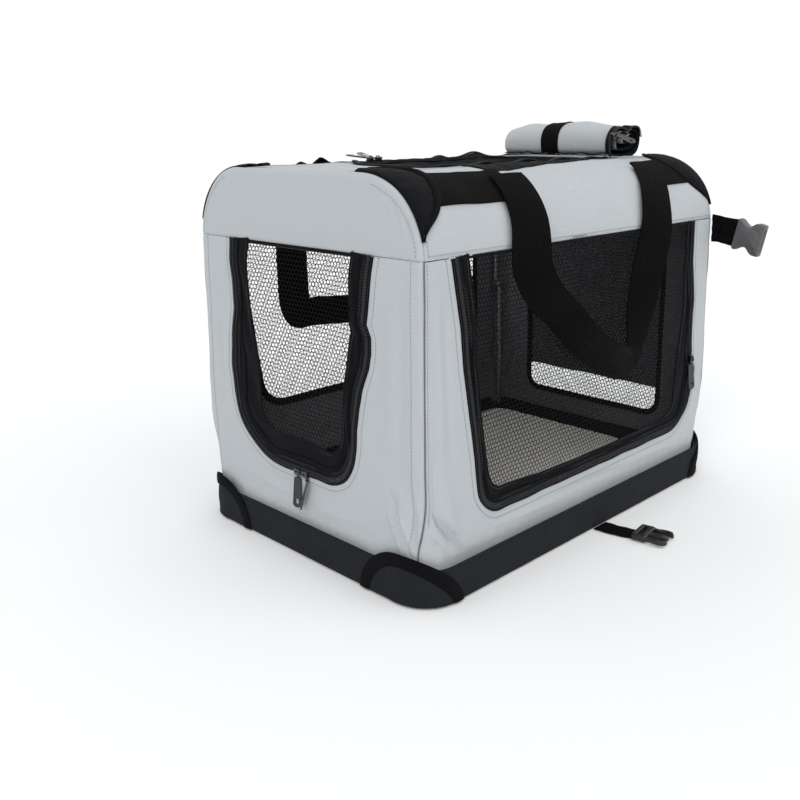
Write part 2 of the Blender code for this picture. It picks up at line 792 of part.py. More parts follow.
def zips(finish):
    """The outer tapes of the two door zips, sewn to the walls round the doorways."""
    low = -HALF_LENGTH - GAP - ZIP_TAPE_THICKNESS
    strip = prism("front_zip", zip_strip(end_doorway()), "x", low, -HALF_LENGTH - GAP)
    shown("front_zip", strip, finish["black_cloth"])
    low = -HALF_WIDTH - GAP - ZIP_TAPE_THICKNESS
    strip = prism("side_zip", zip_strip(side_doorway()), "y", low, -HALF_WIDTH - GAP)
    shown("side_zip", strip, finish["black_cloth"])


def doors(finish, pivots):
    """The two zipped net doors, each hung from the seam above it."""
    inner = HALF_LENGTH - CLOTH
    middle = -(inner + CLOTH / 2)
    outline = offset(end_doorway(), ZIP_GAP, closed=False)
    outline[0] = (outline[0][0], DOOR_TOP - ZIP_GAP)
    outline[-1] = (outline[-1][0], DOOR_TOP - ZIP_GAP)
    mesh = net_panel(
        "front_door",
        outline,
        "x",
        middle - DOOR_THICKNESS / 2,
        middle + DOOR_THICKNESS / 2,
        DOOR_BORDER,
        7,
        8,
    )
    attach(shown("front_door", mesh, finish["black_net"]), pivots, "front_door_axis")

    inner = HALF_WIDTH - CLOTH
    middle = -(inner + CLOTH / 2)
    outline = offset(side_doorway(), ZIP_GAP, closed=False)
    outline[0] = (outline[0][0], DOOR_TOP - ZIP_GAP)
    outline[-1] = (outline[-1][0], DOOR_TOP - ZIP_GAP)
    mesh = net_panel(
        "side_door",
        outline,
        "y",
        middle - DOOR_THICKNESS / 2,
        middle + DOOR_THICKNESS / 2,
        DOOR_BORDER,
        10,
        6,
    )
    attach(shown("side_door", mesh, finish["black_net"]), pivots, "side_door_axis")


def leg_mesh():
    """A lower leg at its own origin: a tube between two drilled eyes."""
    shaft = tube([(0, 0, 0), (0, 0, LINK_LENGTH)])
    eyes = []
    bores = []
    for height in (0, LINK_LENGTH):
        eyes.append(cylinder(EYE_RADIUS, EYE_WIDTH, "y", (0, 0, height)))
        bores.append(
            cylinder(PIN_RADIUS + PIN_CLEARANCE, EYE_WIDTH * 2, "y", (0, 0, height), sides=12)
        )
    return combined(combined(shaft, "UNION", eyes), "DIFFERENCE", bores)


def hoop_mesh():
    """An upper hoop at its own crossbar: a bent tube with a pinned eye at each foot."""
    drop = KNEE_HEIGHT - CROSSBAR_HEIGHT
    bend_y = HOOP_Y - HOOP_BEND
    profile = [(HOOP_Y, drop)] + arc((bend_y, -HOOP_BEND), HOOP_BEND, 0, 90, 8)
    path = [(0, y, z) for y, z in profile] + [(0, -y, z) for y, z in profile[::-1]]
    hoop = tube(path)
    additions = []
    for side in (-1, 1):
        additions.append(cylinder(EYE_RADIUS, EYE_WIDTH, "y", (0, side * HOOP_Y, drop)))
        additions += pin(0, side, HOOP_Y, drop)
    return combined(hoop, "UNION", additions)


def folding_frame(finish, pivots):
    """Four lower legs and two upper hoops, which fold at the knees."""
    leg = leg_mesh()
    for end, end_word in ((-1, "front"), (1, "rear")):
        for side, side_word in ((-1, "right"), (1, "left")):
            piece = shown(f"{end_word}_leg_{side_word}", leg, finish["steel"], smooth=True)
            piece.location = (end * HOOP_X, side * LEG_Y, BASE_PIVOT_HEIGHT)
            attach(piece, pivots, f"{end_word}_foot_axis")
    hoop = hoop_mesh()
    for end, end_word in ((-1, "front"), (1, "rear")):
        piece = shown(f"{end_word}_hoop", hoop, finish["steel"], smooth=True)
        piece.location = (end * HOOP_X, 0, CROSSBAR_HEIGHT)
        attach(piece, pivots, f"{end_word}_knee_axis")


def roof_bar_mesh():
    """A roof bar at the middle of the roof: a tube with a sleeve at each end for the crossbars."""
    reach = HOOP_X - SLEEVE_RADIUS + 0.001
    bar = tube([(-reach, 0, 0), (reach, 0, 0)])
    sleeves = []
    bores = []
    for end in (-1, 1):
        sleeves.append(cylinder(SLEEVE_RADIUS, SLEEVE_LENGTH, "y", (end * HOOP_X, 0, 0)))
        bores.append(cylinder(SLEEVE_BORE, SLEEVE_LENGTH * 2, "y", (end * HOOP_X, 0, 0), sides=16))
    return combined(combined(bar, "UNION", sleeves), "DIFFERENCE", bores)


def roof_pieces(finish, pivots):
    """Roof panel, shoulders, bars, hatch, top patches, webbing bands and the rolled flap."""
    bar = roof_bar_mesh()
    for side, side_word in ((-1, "right"), (1, "left")):
        piece = shown(f"roof_bar_{side_word}", bar, finish["steel"], smooth=True)
        piece.location = (0, side * ROOF_BAR_SPACING / 2, CROSSBAR_HEIGHT)
        attach(piece, pivots, "roof_axis")

    reach = HALF_LENGTH - CLOTH - GAP
    edge = ROOF_HALF_WIDTH - GAP
    outline = [(-reach, -edge), (reach, -edge), (reach, edge), (-reach, edge)]
    panel = prism("roof_panel", outline, "z", ROOF_HEIGHT - CLOTH, ROOF_HEIGHT)
    cut = prism("cut", hatchway(), "z", ROOF_HEIGHT - 3 * CLOTH, ROOF_HEIGHT + CLOTH)
    panel = combined(panel, "DIFFERENCE", [cut])
    attach(shown("roof_panel", panel, finish["grey_cloth"]), pivots, "roof_axis")

    strip = prism(
        "roof_zip",
        zip_strip(hatchway()),
        "z",
        ROOF_HEIGHT + GAP,
        ROOF_HEIGHT + GAP + ZIP_TAPE_THICKNESS,
    )
    attach(shown("roof_zip", strip, finish["black_cloth"]), pivots, "roof_axis")

    outer = arc((ROOF_HALF_WIDTH, SEAM_HEIGHT), SHOULDER_RADIUS, 0, 90, 12)
    inner = arc((ROOF_HALF_WIDTH, SEAM_HEIGHT), SHOULDER_RADIUS - CLOTH, 90, 0, 12)
    left = prism("shoulder", outer + inner, "x", -reach, reach)
    for side_word, mesh in (("left", left), ("right", mirrored(left, "y"))):
        piece = shown(f"{side_word}_shoulder", mesh, finish["grey_cloth"], smooth=True)
        attach(piece, pivots, "roof_axis")

    for end, end_word in ((-1, "front"), (1, "rear")):
        for side, side_word in ((-1, "right"), (1, "left")):
            name = f"top_patch_{end_word}_{side_word}"
            flips = ("x" if end < 0 else "") + ("y" if side < 0 else "")
            mesh = mirrored(top_patch_mesh(), flips)
            attach(shown(name, mesh, finish["black_cloth"]), pivots, "roof_axis")
    for end_word, start, end in (
        ("front", -BAND_REACH, BAND_FRONT_END),
        ("rear", BAND_REAR_START, BAND_REACH),
    ):
        for side_word in ("left", "right"):
            mesh = band_mesh(start, end)
            if side_word == "right":
                mesh = mirrored(mesh, "y")
            name = f"{end_word}_band_{side_word}"
            attach(shown(name, mesh, finish["webbing"]), pivots, "roof_axis")
    attach(shown("roof_roll", roll_mesh(), finish["grey_cloth"]), pivots, "roof_axis")
    attach(shown("roll_strap", roll_strap_mesh(), finish["webbing"]), pivots, "roof_axis")


def on_shoulder(angle, out):
    """A point on the left shoulder's section, by its angle above the seam and its height off it."""
    radius = SHOULDER_RADIUS + out
    turn = math.radians(angle)
    return (ROOF_HALF_WIDTH + radius * math.cos(turn), SEAM_HEIGHT + radius * math.sin(turn))


def top_patch_mesh():
    """The half-moon patch on the shoulder at +X +Y, from the hoop's bend inwards."""
    edge = HALF_LENGTH - CLOTH - GAP
    columns = 14
    rings = []
    for i in range(columns + 1):
        share = i / columns
        angle = TOP_PATCH_LOW_ANGLE + (TOP_PATCH_HIGH_ANGLE - TOP_PATCH_LOW_ANGLE) * share
        reach = 0.004 + (TOP_PATCH_REACH - 0.004) * math.sin(math.pi * share) ** 0.7
        if i == columns:
            reach = 0.004
        inner = shoulder_or_roof(angle, GAP)
        outer = shoulder_or_roof(angle, GAP + PATCH_THICKNESS)
        rings.append(
            [(edge, *inner), (edge - reach, *inner), (edge - reach, *outer), (edge, *outer)]
        )
    return loft("top_patch", rings)


def shoulder_or_roof(angle, out):
    """A point over the shoulder, or over the flat roof where the angle is past the top."""
    if angle <= 90:
        return on_shoulder(angle, out)
    run = math.radians(angle - 90) * SHOULDER_RADIUS
    return (ROOF_HALF_WIDTH - run, ROOF_HEIGHT + out)


def band_mesh(start, end):
    """A stretch of handle webbing sewn flat along the left shoulder."""
    steps = 5
    span = BAND_HIGH_ANGLE - BAND_LOW_ANGLE
    angles = [BAND_LOW_ANGLE + span * i / steps for i in range(steps + 1)]
    inner = [on_shoulder(angle, GAP) for angle in angles]
    outer = [on_shoulder(angle, GAP + WEB_THICKNESS) for angle in angles[::-1]]
    return prism("band", inner + outer, "x", start, end)


def roll_mesh():
    """The rolled flap: a strip of cloth wound up in a spiral, with its tail on the roof."""
    turns = int(16 * ROLL_TURNS)
    centre = (ROLL_CENTRE, ROOF_HEIGHT + GAP + ROLL_RADIUS)
    outer = []
    inner = []
    for i in range(turns + 1):
        angle = -math.pi / 2 + 2 * math.pi * i / 16
        radius = ROLL_RADIUS - ROLL_PITCH * i / 16
        direction = (math.cos(angle), math.sin(angle))
        outer.append((centre[0] + radius * direction[0], centre[1] + radius * direction[1]))
        shrunk = radius - ROLL_CLOTH
        inner.append((centre[0] + shrunk * direction[0], centre[1] + shrunk * direction[1]))
    tail = ROLL_RADIUS * 1.6
    low = ROOF_HEIGHT + GAP
    outline = [(centre[0] - tail, low)] + outer + inner[::-1] + [(centre[0] - tail, low + ROLL_CLOTH)]
    return prism("roof_roll", outline, "y", -ROLL_HALF_WIDTH, ROLL_HALF_WIDTH)


def roll_strap_mesh():
    """The strap over the roll, an arch of webbing that comes down behind and in front of it."""
    steps = 14
    centre = (ROLL_CENTRE, ROOF_HEIGHT + GAP + ROLL_RADIUS)
    clear = ROLL_RADIUS + GAP
    thick = clear + 0.0014
    foot = ROOF_HEIGHT + GAP
    lift = ROLL_CLOTH + GAP
    inner = arc(centre, clear, -10, 190, steps)
    outer = arc(centre, thick, 190, -10, steps)
    inner = [(inner[0][0], foot)] + inner + [(inner[-1][0], foot + lift)]
    outer = [(outer[0][0], foot + lift)] + outer + [(outer[-1][0], foot)]
    low = ROLL_STRAP_OFFSET
    return prism("roll_strap", inner + outer, "y", low, low + ROLL_STRAP_WIDTH)


def hatch(finish, pivots):
    """The zipped net in the roof, hinged along its rear edge."""
    outline = offset(hatchway(), ZIP_GAP, closed=False)
    outline[0] = (HATCH_REAR - ZIP_GAP, outline[0][1])
    outline[-1] = (HATCH_REAR - ZIP_GAP, outline[-1][1])
    middle = ROOF_HEIGHT - CLOTH / 2
    mesh = net_panel(
        "roof_hatch",
        outline,
        "z",
        middle - DOOR_THICKNESS / 2,
        middle + DOOR_THICKNESS / 2,
        HATCH_BORDER,
        8,
        5,
    )
    attach(shown("roof_hatch", mesh, finish["black_net"]), pivots, "roof_hatch_axis")


def handle_route():
    """Points (x, z) of a hanging handle's middle line, along its span and down its drop."""
    span = HANDLE_REAR - HANDLE_FRONT
    shares = [
        (0.0, 0.0),
        (0.034, 0.245),
        (0.099, 0.528),
        (0.290, 0.782),
        (0.542, 0.926),
        (0.794, 1.0),
        (0.947, 0.913),
        (1.015, 0.638),
        (1.011, 0.310),
        (1.0, 0.0),
    ]
    route = [(HANDLE_FRONT + span * u, HANDLE_TOP - HANDLE_DROP * v) for u, v in shares]
    return smooth_curve(route, 4)


def smooth_curve(route, steps):
    """A Catmull-Rom curve through the route's points, read a few times in each stretch."""
    ends = [Vector(route[0]) * 2 - Vector(route[1])]
    ends += [Vector(point) for point in route]
    ends.append(Vector(route[-1]) * 2 - Vector(route[-2]))
    points = []
    for i in range(1, len(ends) - 2):
        a, b, c, d = ends[i - 1 : i + 3]
        for k in range(steps):
            t = k / steps
            points.append(
                0.5 * (2 * b + (c - a) * t + (2 * a - 5 * b + 4 * c - d) * t * t
                       + (3 * b - a - 3 * c + d) * t ** 3)
            )
    points.append(ends[-2])
    return points


def cover_section(height):
    """Where the right side's surface lies at a height: y, and the outward normal's y and z."""
    if height <= SEAM_HEIGHT:
        return HALF_WIDTH, 1.0, 0.0
    rise = (height - SEAM_HEIGHT) / SHOULDER_RADIUS
    level = math.sqrt(1 - rise * rise)
    return ROOF_HALF_WIDTH + SHOULDER_RADIUS * level, level, rise


def handle_mesh():
    """A handle of flat webbing that hangs in a loop over the left side, a little off the cover."""
    path = []
    normals = []
    for point in handle_route():
        surface, normal_y, normal_z = cover_section(point.y)
        near_top = max(0.0, (point.y - SEAM_HEIGHT) / (HANDLE_TOP - SEAM_HEIGHT))
        off = HANDLE_STANDOFF * (1 - near_top) + 0.0008 * near_top + WEB_THICKNESS / 2
        place = Vector((point.x, surface + off * normal_y, point.y + off * normal_z))
        path.append(place)
        normals.append(Vector((0, normal_y, normal_z)))
    rings = []
    for i, place in enumerate(path):
        before = path[max(i - 1, 0)]
        after = path[min(i + 1, len(path) - 1)]
        tangent = (after - before).normalized()
        across = tangent.cross(normals[i]).normalized() * HANDLE_WIDTH / 2
        out = normals[i] * WEB_THICKNESS / 2
        rings.append([place - across - out, place + across - out, place + across + out, place - across + out])
    return loft("handle", rings)


def handles(finish, pivots):
    left = handle_mesh()
    attach(shown("left_handle", left, finish["webbing"]), pivots, "left_handle_axis")
    right = mirrored(left, "y")
    attach(shown("right_handle", right, finish["webbing"]), pivots, "right_handle_axis")


def slider_mesh():
    """A zip slider at its own origin, long along X, lying on the tape at Z 0."""
    outline = rounded(
        [
            (-SLIDER_LENGTH / 2, -SLIDER_WIDTH * 0.36, 0.001),
            (SLIDER_LENGTH / 2, -SLIDER_WIDTH / 2, 0.002),
            (SLIDER_LENGTH / 2, SLIDER_WIDTH / 2, 0.002),
            (-SLIDER_LENGTH / 2, SLIDER_WIDTH * 0.36, 0.001),
        ],
        steps=3,
    )
    body = prism("slider", outline, "z", 0, SLIDER_HEIGHT * 0.6)
    bridge = prism(
        "bridge",
        [
            (-SLIDER_LENGTH * 0.36, SLIDER_HEIGHT * 0.5),
            (SLIDER_LENGTH * 0.36, SLIDER_HEIGHT * 0.5),
            (SLIDER_LENGTH * 0.24, SLIDER_HEIGHT),
            (-SLIDER_LENGTH * 0.24, SLIDER_HEIGHT),
        ],
        "y",
        -SLIDER_WIDTH * 0.2,
        SLIDER_WIDTH * 0.2,
    )
    return combined(body, "UNION", [bridge])


def pull_mesh():
    """A pull at its own origin, hanging from its rolled eye, thin along Y, with a hole at its tip."""
    half = PULL_WIDTH / 2
    outline = rounded(
        [
            (-half * 0.7, 0, 0.001),
            (-half, -PULL_LENGTH, half * 0.88),
            (half, -PULL_LENGTH, half * 0.88),
            (half * 0.7, 0, 0.001),
        ],
        steps=4,
    )
    plate = prism("pull", outline, "y", -PULL_THICKNESS / 2, PULL_THICKNESS / 2)
    hole_middle = -PULL_LENGTH + half + PULL_HOLE_LENGTH / 2
    hole = [
        (u, hole_middle + v)
        for u, v in rounded_rectangle(
            PULL_HOLE_WIDTH / 2, PULL_HOLE_LENGTH / 2, PULL_HOLE_WIDTH * 0.49, steps=3
        )
    ]
    cut = prism("cut", hole, "y", -PULL_THICKNESS * 2, PULL_THICKNESS * 2)
    eye = cylinder(PULL_EYE_RADIUS, PULL_WIDTH * 0.8, "x", (0, 0, 0), sides=12)
    return combined(combined(plate, "DIFFERENCE", [cut]), "UNION", [eye])


def place_slider(mesh, name, finish, pivots, axis_name, where, turn):
    piece = shown(name, mesh, finish)
    piece.rotation_euler = turn
    piece.location = where
    attach(piece, pivots, axis_name)


def sliders(finish, pivots):
    """Zip sliders on the outer tapes and the pulls that hang from them."""
    slider = slider_mesh()
    pull = pull_mesh()
    quarter = math.pi / 2
    for word, spread in (("right", -0.5), ("left", 0.5)):
        where = end_slider_place(spread)
        turn = (quarter, 0, -quarter)
        place_slider(
            slider, f"end_slider_{word}", finish["zip_metal"], pivots, f"end_slider_{word}_axis",
            where, turn,
        )
        hang = end_pull_place(spread)
        place_slider(
            pull, f"end_pull_{word}", finish["zip_metal"], pivots, f"end_pull_{word}_axis",
            hang, (0, 0, quarter),
        )
    place_slider(
        slider, "side_slider", finish["zip_metal"], pivots, "side_slider_axis",
        side_slider_place(), (quarter, -quarter, 0),
    )
    place_slider(
        pull, "side_pull", finish["zip_metal"], pivots, "side_pull_axis",
        side_pull_place(), (0, 0, 0),
    )
    for word, spread in (("front", -0.5), ("rear", 0.5)):
        place_slider(
            slider, f"roof_slider_{word}", finish["zip_metal"], pivots,
            f"roof_slider_{word}_axis", roof_slider_place(spread), (0, 0, 0),
        )
        place_slider(
            pull, f"roof_pull_{word}", finish["zip_metal"], pivots, f"roof_pull_{word}_axis",
            roof_pull_place(spread), (quarter, 0, 0),
        )


def end_slider_place(spread):
    face = -HALF_LENGTH - 2 * GAP - ZIP_TAPE_THICKNESS
    height = END_DOOR_FOOT - GAP - SLIDER_WIDTH / 2
    return Vector((face, spread * END_SLIDER_SPACING, height))


def end_pull_place(spread):
    slider = end_slider_place(spread)
    level = slider.x - SLIDER_HEIGHT + PULL_EYE_RADIUS
    drop = SLIDER_WIDTH / 2 + PULL_EYE_RADIUS + PULL_GAP
    return Vector((level, slider.y, slider.z - drop))


def side_slider_place():
    face = -HALF_WIDTH - 2 * GAP - ZIP_TAPE_THICKNESS
    return Vector((SIDE_DOOR_REAR + GAP + SLIDER_WIDTH / 2, face, SIDE_SLIDER_HEIGHT))


def side_pull_place():
    slider = side_slider_place()
    level = slider.y - SLIDER_HEIGHT + PULL_EYE_RADIUS
    drop = SLIDER_LENGTH / 2 + PULL_EYE_RADIUS + PULL_GAP
    return Vector((slider.x, level, slider.z - drop))


def roof_slider_place(spread):
    face = ROOF_HEIGHT + 2 * GAP + ZIP_TAPE_THICKNESS
    side = HATCH_HALF_WIDTH + GAP + SLIDER_WIDTH / 2
    return Vector((HATCH_FRONT + HATCH_CORNER + 0.02 + spread * END_SLIDER_SPACING, side, face))


def roof_pull_place(spread):
    slider = roof_slider_place(spread)
    level = slider.z + SLIDER_HEIGHT - PULL_EYE_RADIUS
    step = SLIDER_WIDTH / 2 + PULL_EYE_RADIUS + PULL_GAP
    return Vector((slider.x, slider.y + step, level))


def rear_buckle(finish, pivots):
    """The webbing tab in the rear right seam and the female half of a side-release buckle on it."""
    tab_low = -HALF_WIDTH - GAP - TAB_LENGTH
    x_low = HALF_LENGTH + GAP
    x_high = x_low + TAB_THICKNESS
    tab = block(
        (x_low, tab_low, TAB_MIDDLE - TAB_HEIGHT / 2),
        (x_high, -HALF_WIDTH - GAP, TAB_MIDDLE + TAB_HEIGHT / 2),
    )
    attach(shown("buckle_tab", tab, finish["webbing"]), pivots, "rear_buckle_axis")

    near = tab_low - GAP
    far = near - BUCKLE_LENGTH
    half = BUCKLE_HEIGHT / 2
    waist = half * 0.66
    outline = rounded(
        [
            (near, TAB_MIDDLE - half, 0.003),
            (near, TAB_MIDDLE + half, 0.003),
            (near - BUCKLE_LENGTH * 0.28, TAB_MIDDLE + half, 0.004),
            (near - BUCKLE_LENGTH * 0.46, TAB_MIDDLE + waist, 0.006),
            (near - BUCKLE_LENGTH * 0.62, TAB_MIDDLE + waist, 0.006),
            (near - BUCKLE_LENGTH * 0.80, TAB_MIDDLE + half * 0.92, 0.004),
            (far, TAB_MIDDLE + half * 0.92, 0.002),
            (far, TAB_MIDDLE - half * 0.92, 0.002),
            (near - BUCKLE_LENGTH * 0.80, TAB_MIDDLE - half * 0.92, 0.004),
            (near - BUCKLE_LENGTH * 0.62, TAB_MIDDLE - waist, 0.006),
            (near - BUCKLE_LENGTH * 0.46, TAB_MIDDLE - waist, 0.006),
            (near - BUCKLE_LENGTH * 0.28, TAB_MIDDLE - half, 0.004),
        ],
        steps=3,
    )
    middle = (x_low + x_high) / 2
    shell = prism(
        "rear_buckle", outline, "x", middle - BUCKLE_THICKNESS / 2, middle + BUCKLE_THICKNESS / 2
    )
    mouth_half = BUCKLE_THICKNESS / 2 - BUCKLE_WALL
    mouth = block(
        (middle - mouth_half, far - 0.002, TAB_MIDDLE - waist + BUCKLE_WALL),
        (middle + mouth_half, near - BUCKLE_LENGTH * 0.30, TAB_MIDDLE + waist - BUCKLE_WALL),
    )
    shell = combined(shell, "DIFFERENCE", [mouth])
    attach(shown("rear_buckle", shell, finish["buckle_plastic"]), pivots, "rear_buckle_axis")


def strap_route():
    """The closing strap's middle line from the base's side out along the ground."""
    start_y = -TRAY_HALF_WIDTH - GAP
    level = STRAP_THICKNESS / 2 + 0.0002
    points = []
    for k in range(7):
        share = k / 6
        points.append(
            Vector((STRAP_START + 0.010 * share * share, start_y - STRAP_LENGTH * share, level))
        )
    return points


def closing_strap(finish):
    """The strap that closes round the folded carrier, with the male half of its buckle."""
    path = strap_route()
    rings = []
    for i, place in enumerate(path):
        tangent = (path[min(i + 1, len(path) - 1)] - path[max(i - 1, 0)]).normalized()
        across = tangent.cross(Vector((0, 0, 1))).normalized() * STRAP_WIDTH / 2
        out = Vector((0, 0, STRAP_THICKNESS / 2))
        rings.append([place - across - out, place + across - out, place + across + out, place - across + out])
    shown("closing_strap", loft("closing_strap", rings), finish["webbing"])

    direction = (path[-1] - path[-2]).normalized()
    angle = math.atan2(direction.x, -direction.y)
    start = path[-1] + direction * GAP
    half = STRAP_WIDTH / 2 + 0.006
    prong_gap = 0.008
    body_length = PLUG_LENGTH * 0.46
    body = [
        (-half, 0, 0.002),
        (-half, -body_length, 0.002),
        (-half + 0.002, -PLUG_LENGTH * 0.72, 0.003),
        (-half + 0.007, -PLUG_LENGTH, 0.0025),
        (-half + 0.012, -PLUG_LENGTH, 0.0025),
        (-prong_gap, -body_length * 1.15, 0.002),
        (-0.003, -body_length * 1.15, 0.001),
        (-0.0022, -PLUG_LENGTH * 0.93, 0.001),
        (0.0022, -PLUG_LENGTH * 0.93, 0.001),
        (0.003, -body_length * 1.15, 0.001),
        (prong_gap, -body_length * 1.15, 0.002),
        (half - 0.012, -PLUG_LENGTH, 0.0025),
        (half - 0.007, -PLUG_LENGTH, 0.0025),
        (half - 0.002, -PLUG_LENGTH * 0.72, 0.003),
        (half, -body_length, 0.002),
        (half, 0, 0.002),
    ]
    mesh = prism("plug", rounded(body, steps=2), "z", 0, PLUG_THICKNESS)
    slot = block(
        (-STRAP_WIDTH / 2, -body_length * 0.55, -0.001),
        (STRAP_WIDTH / 2, -body_length * 0.30, PLUG_THICKNESS + 0.001),
    )
    mesh = combined(mesh, "DIFFERENCE", [slot])
    piece = shown("strap_buckle", mesh, finish["buckle_plastic"])
    piece.rotation_euler = (0, 0, angle)
    piece.location = (start.x, start.y, 0.0002)


def make_pivots():
    pivots = {}
    for end, word in ((-1, "front"), (1, "rear")):
        foot = (end * HOOP_X, 0, BASE_PIVOT_HEIGHT)
        remember_pivot(pivots, f"{word}_foot_axis", foot)
        remember_pivot(
            pivots, f"{word}_knee_axis", (end * HOOP_X, 0, KNEE_HEIGHT), f"{word}_foot_axis"
        )
    remember_pivot(pivots, "roof_axis", (-HOOP_X, 0, CROSSBAR_HEIGHT), "front_knee_axis")
    remember_pivot(pivots, "front_door_axis", (-HALF_LENGTH - GAP, 0, DOOR_TOP))
    remember_pivot(pivots, "side_door_axis", (0, -HALF_WIDTH + CLOTH + GAP, DOOR_TOP))
    hinge = (HATCH_REAR, 0, ROOF_HEIGHT + GAP)
    remember_pivot(pivots, "roof_hatch_axis", hinge, "roof_axis")
    surface, normal_y, normal_z = cover_section(HANDLE_TOP)
    reach = surface + (0.0008 + WEB_THICKNESS / 2) * normal_y
    height = HANDLE_TOP + (0.0008 + WEB_THICKNESS / 2) * normal_z
    remember_pivot(pivots, "left_handle_axis", (0, reach, height), "roof_axis")
    remember_pivot(pivots, "right_handle_axis", (0, -reach, height), "roof_axis")
    for word, spread in (("right", -0.5), ("left", 0.5)):
        remember_pivot(pivots, f"end_slider_{word}_axis", end_slider_place(spread))
        remember_pivot(
            pivots, f"end_pull_{word}_axis", end_pull_place(spread), f"end_slider_{word}_axis"
        )
    remember_pivot(pivots, "side_slider_axis", side_slider_place())
    remember_pivot(pivots, "side_pull_axis", side_pull_place(), "side_slider_axis")
    for word, spread in (("front", -0.5), ("rear", 0.5)):
        remember_pivot(pivots, f"roof_slider_{word}_axis", roof_slider_place(spread), "roof_axis")
        remember_pivot(
            pivots, f"roof_pull_{word}_axis", roof_pull_place(spread), f"roof_slider_{word}_axis"
        )
    remember_pivot(
        pivots, "rear_buckle_axis", (HALF_LENGTH + GAP + TAB_THICKNESS / 2, -HALF_WIDTH - GAP, TAB_MIDDLE)
    )
    return pivots


def main():
    for old in list(bpy.data.objects):
        bpy.data.objects.remove(old)
    finish = finishes()
    pivots = make_pivots()
    base_pieces(finish)
    base_patches(finish)
    cover_walls(finish)
    zips(finish)
    doors(finish, pivots)
    folding_frame(finish, pivots)
    roof_pieces(finish, pivots)
    hatch(finish, pivots)
    handles(finish, pivots)
    sliders(finish, pivots)
    rear_buckle(finish, pivots)
    closing_strap(finish)


main()
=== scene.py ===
"""Looks of the folding pet carrier: its cloth, nets, zips, webbing and buckles round the frame.

Metres, +Z up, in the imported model's frame. The zipped end door faces -X, the zipped side door
faces -Y, and the roof flap is rolled up at the rear, +X, end of the roof.
"""

import math

import bpy
import numpy as np
from mathutils import Matrix, Vector


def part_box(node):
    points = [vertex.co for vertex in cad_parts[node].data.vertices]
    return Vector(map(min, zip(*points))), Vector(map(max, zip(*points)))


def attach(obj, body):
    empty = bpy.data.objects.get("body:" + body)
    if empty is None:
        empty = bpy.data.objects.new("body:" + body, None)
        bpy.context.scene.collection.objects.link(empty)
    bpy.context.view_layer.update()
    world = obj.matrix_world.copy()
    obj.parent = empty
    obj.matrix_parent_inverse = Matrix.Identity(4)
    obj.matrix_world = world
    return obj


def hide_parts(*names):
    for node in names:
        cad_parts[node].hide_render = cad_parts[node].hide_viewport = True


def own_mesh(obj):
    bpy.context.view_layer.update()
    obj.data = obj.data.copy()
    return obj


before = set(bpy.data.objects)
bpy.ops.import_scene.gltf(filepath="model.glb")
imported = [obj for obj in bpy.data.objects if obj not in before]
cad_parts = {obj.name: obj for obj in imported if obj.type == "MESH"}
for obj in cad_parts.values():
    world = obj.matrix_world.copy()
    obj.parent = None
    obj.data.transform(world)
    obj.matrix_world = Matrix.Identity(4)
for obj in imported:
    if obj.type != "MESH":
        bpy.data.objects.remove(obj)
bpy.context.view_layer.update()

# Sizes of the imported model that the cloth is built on
HALF_LENGTH = 0.2925
HALF_WIDTH = 0.1945
ROOF_HEIGHT = 0.455
SHOULDER_RADIUS = 0.085
ROOF_HALF_WIDTH = HALF_WIDTH - SHOULDER_RADIUS
SEAM_HEIGHT = ROOF_HEIGHT - SHOULDER_RADIUS
GAP = 0.0003
ZIP_GAP = 0.0007
HEM_GAP = 0.0007
TRAY_HALF_LENGTH = 0.2985
TRAY_HALF_WIDTH = 0.2035
TRAY_HEIGHT = 0.042
TRAY_CORNER = 0.045
TRAY_INNER_CORNER = 0.033
PATCH_HEIGHT = 0.059
PATCH_FOOT = 0.0025
PATCH_END_REACH = 0.056
PATCH_SIDE_REACH = 0.012
DOOR_TOP = SEAM_HEIGHT - GAP
END_DOOR_TOP = 0.124
END_DOOR_SIDE = 0.102
END_DOOR_FOOT = 0.108
END_DOOR_CORNER = 0.066
SIDE_DOOR_TOP_FRONT = -0.248
SIDE_DOOR_FOOT_FRONT = -0.210
SIDE_DOOR_REAR = 0.241
SIDE_DOOR_FOOT = 0.078
SIDE_DOOR_CORNER = 0.046
WINDOW_TOP = 0.362
SIDE_WINDOW_FOOT = 0.118
REAR_WINDOW_TOP = 0.129
REAR_WINDOW_SIDE = 0.125
REAR_WINDOW_FOOT = 0.062
WINDOW_CORNER = 0.026
FLAP_FOOT = 0.107
FLAP_HALF_WIDTH = 0.137
FLAP_STANDOFF = 0.0034
FLAP_WAVE = 0.088
HATCH_FRONT = -0.140
HATCH_REAR = 0.178
HATCH_HALF_WIDTH = 0.090
HATCH_CORNER = 0.035
GUSSET_FRONT = -0.136
GUSSET_REAR = 0.114
HANDLE_WIDTH = 0.044
HANDLE_RIBS = 14
HANDLE_LENGTH = 0.68
HANDLE_TOP = 0.441
HANDLE_STANDOFF = 0.0042
WEB_THICKNESS = 0.0022
BAND_REACH = 0.2509
BAND_FRONT_END = -0.118
BAND_REAR_START = 0.166
ROLL_MIDDLE = 0.214
ROLL_RADIUS = 0.0245
ROLL_HALF_WIDTH = 0.104
ROLL_FAR_END = 0.088
ROLL_TURNS = 3.3
ROLL_OUTER_TURN = 0.80
ROLL_STRAP = 0.006
ROLL_STRAP_WIDTH = 0.029
BUCKLE_ROOT = (0.2938, -HALF_WIDTH, 0.3560)
BUCKLE_TILT = math.radians(13)
STRAP_START = 0.018
STRAP_LENGTH = 0.052
STRAP_WIDTH = 0.026

# The carrier's ends, sides and corners
ENDS = ((-1, "front"), (1, "rear"))
SIDES = ((-1, "right"), (1, "left"))
CORNERS = [(end, end_word, side, side_word) for end, end_word in ENDS for side, side_word in SIDES]

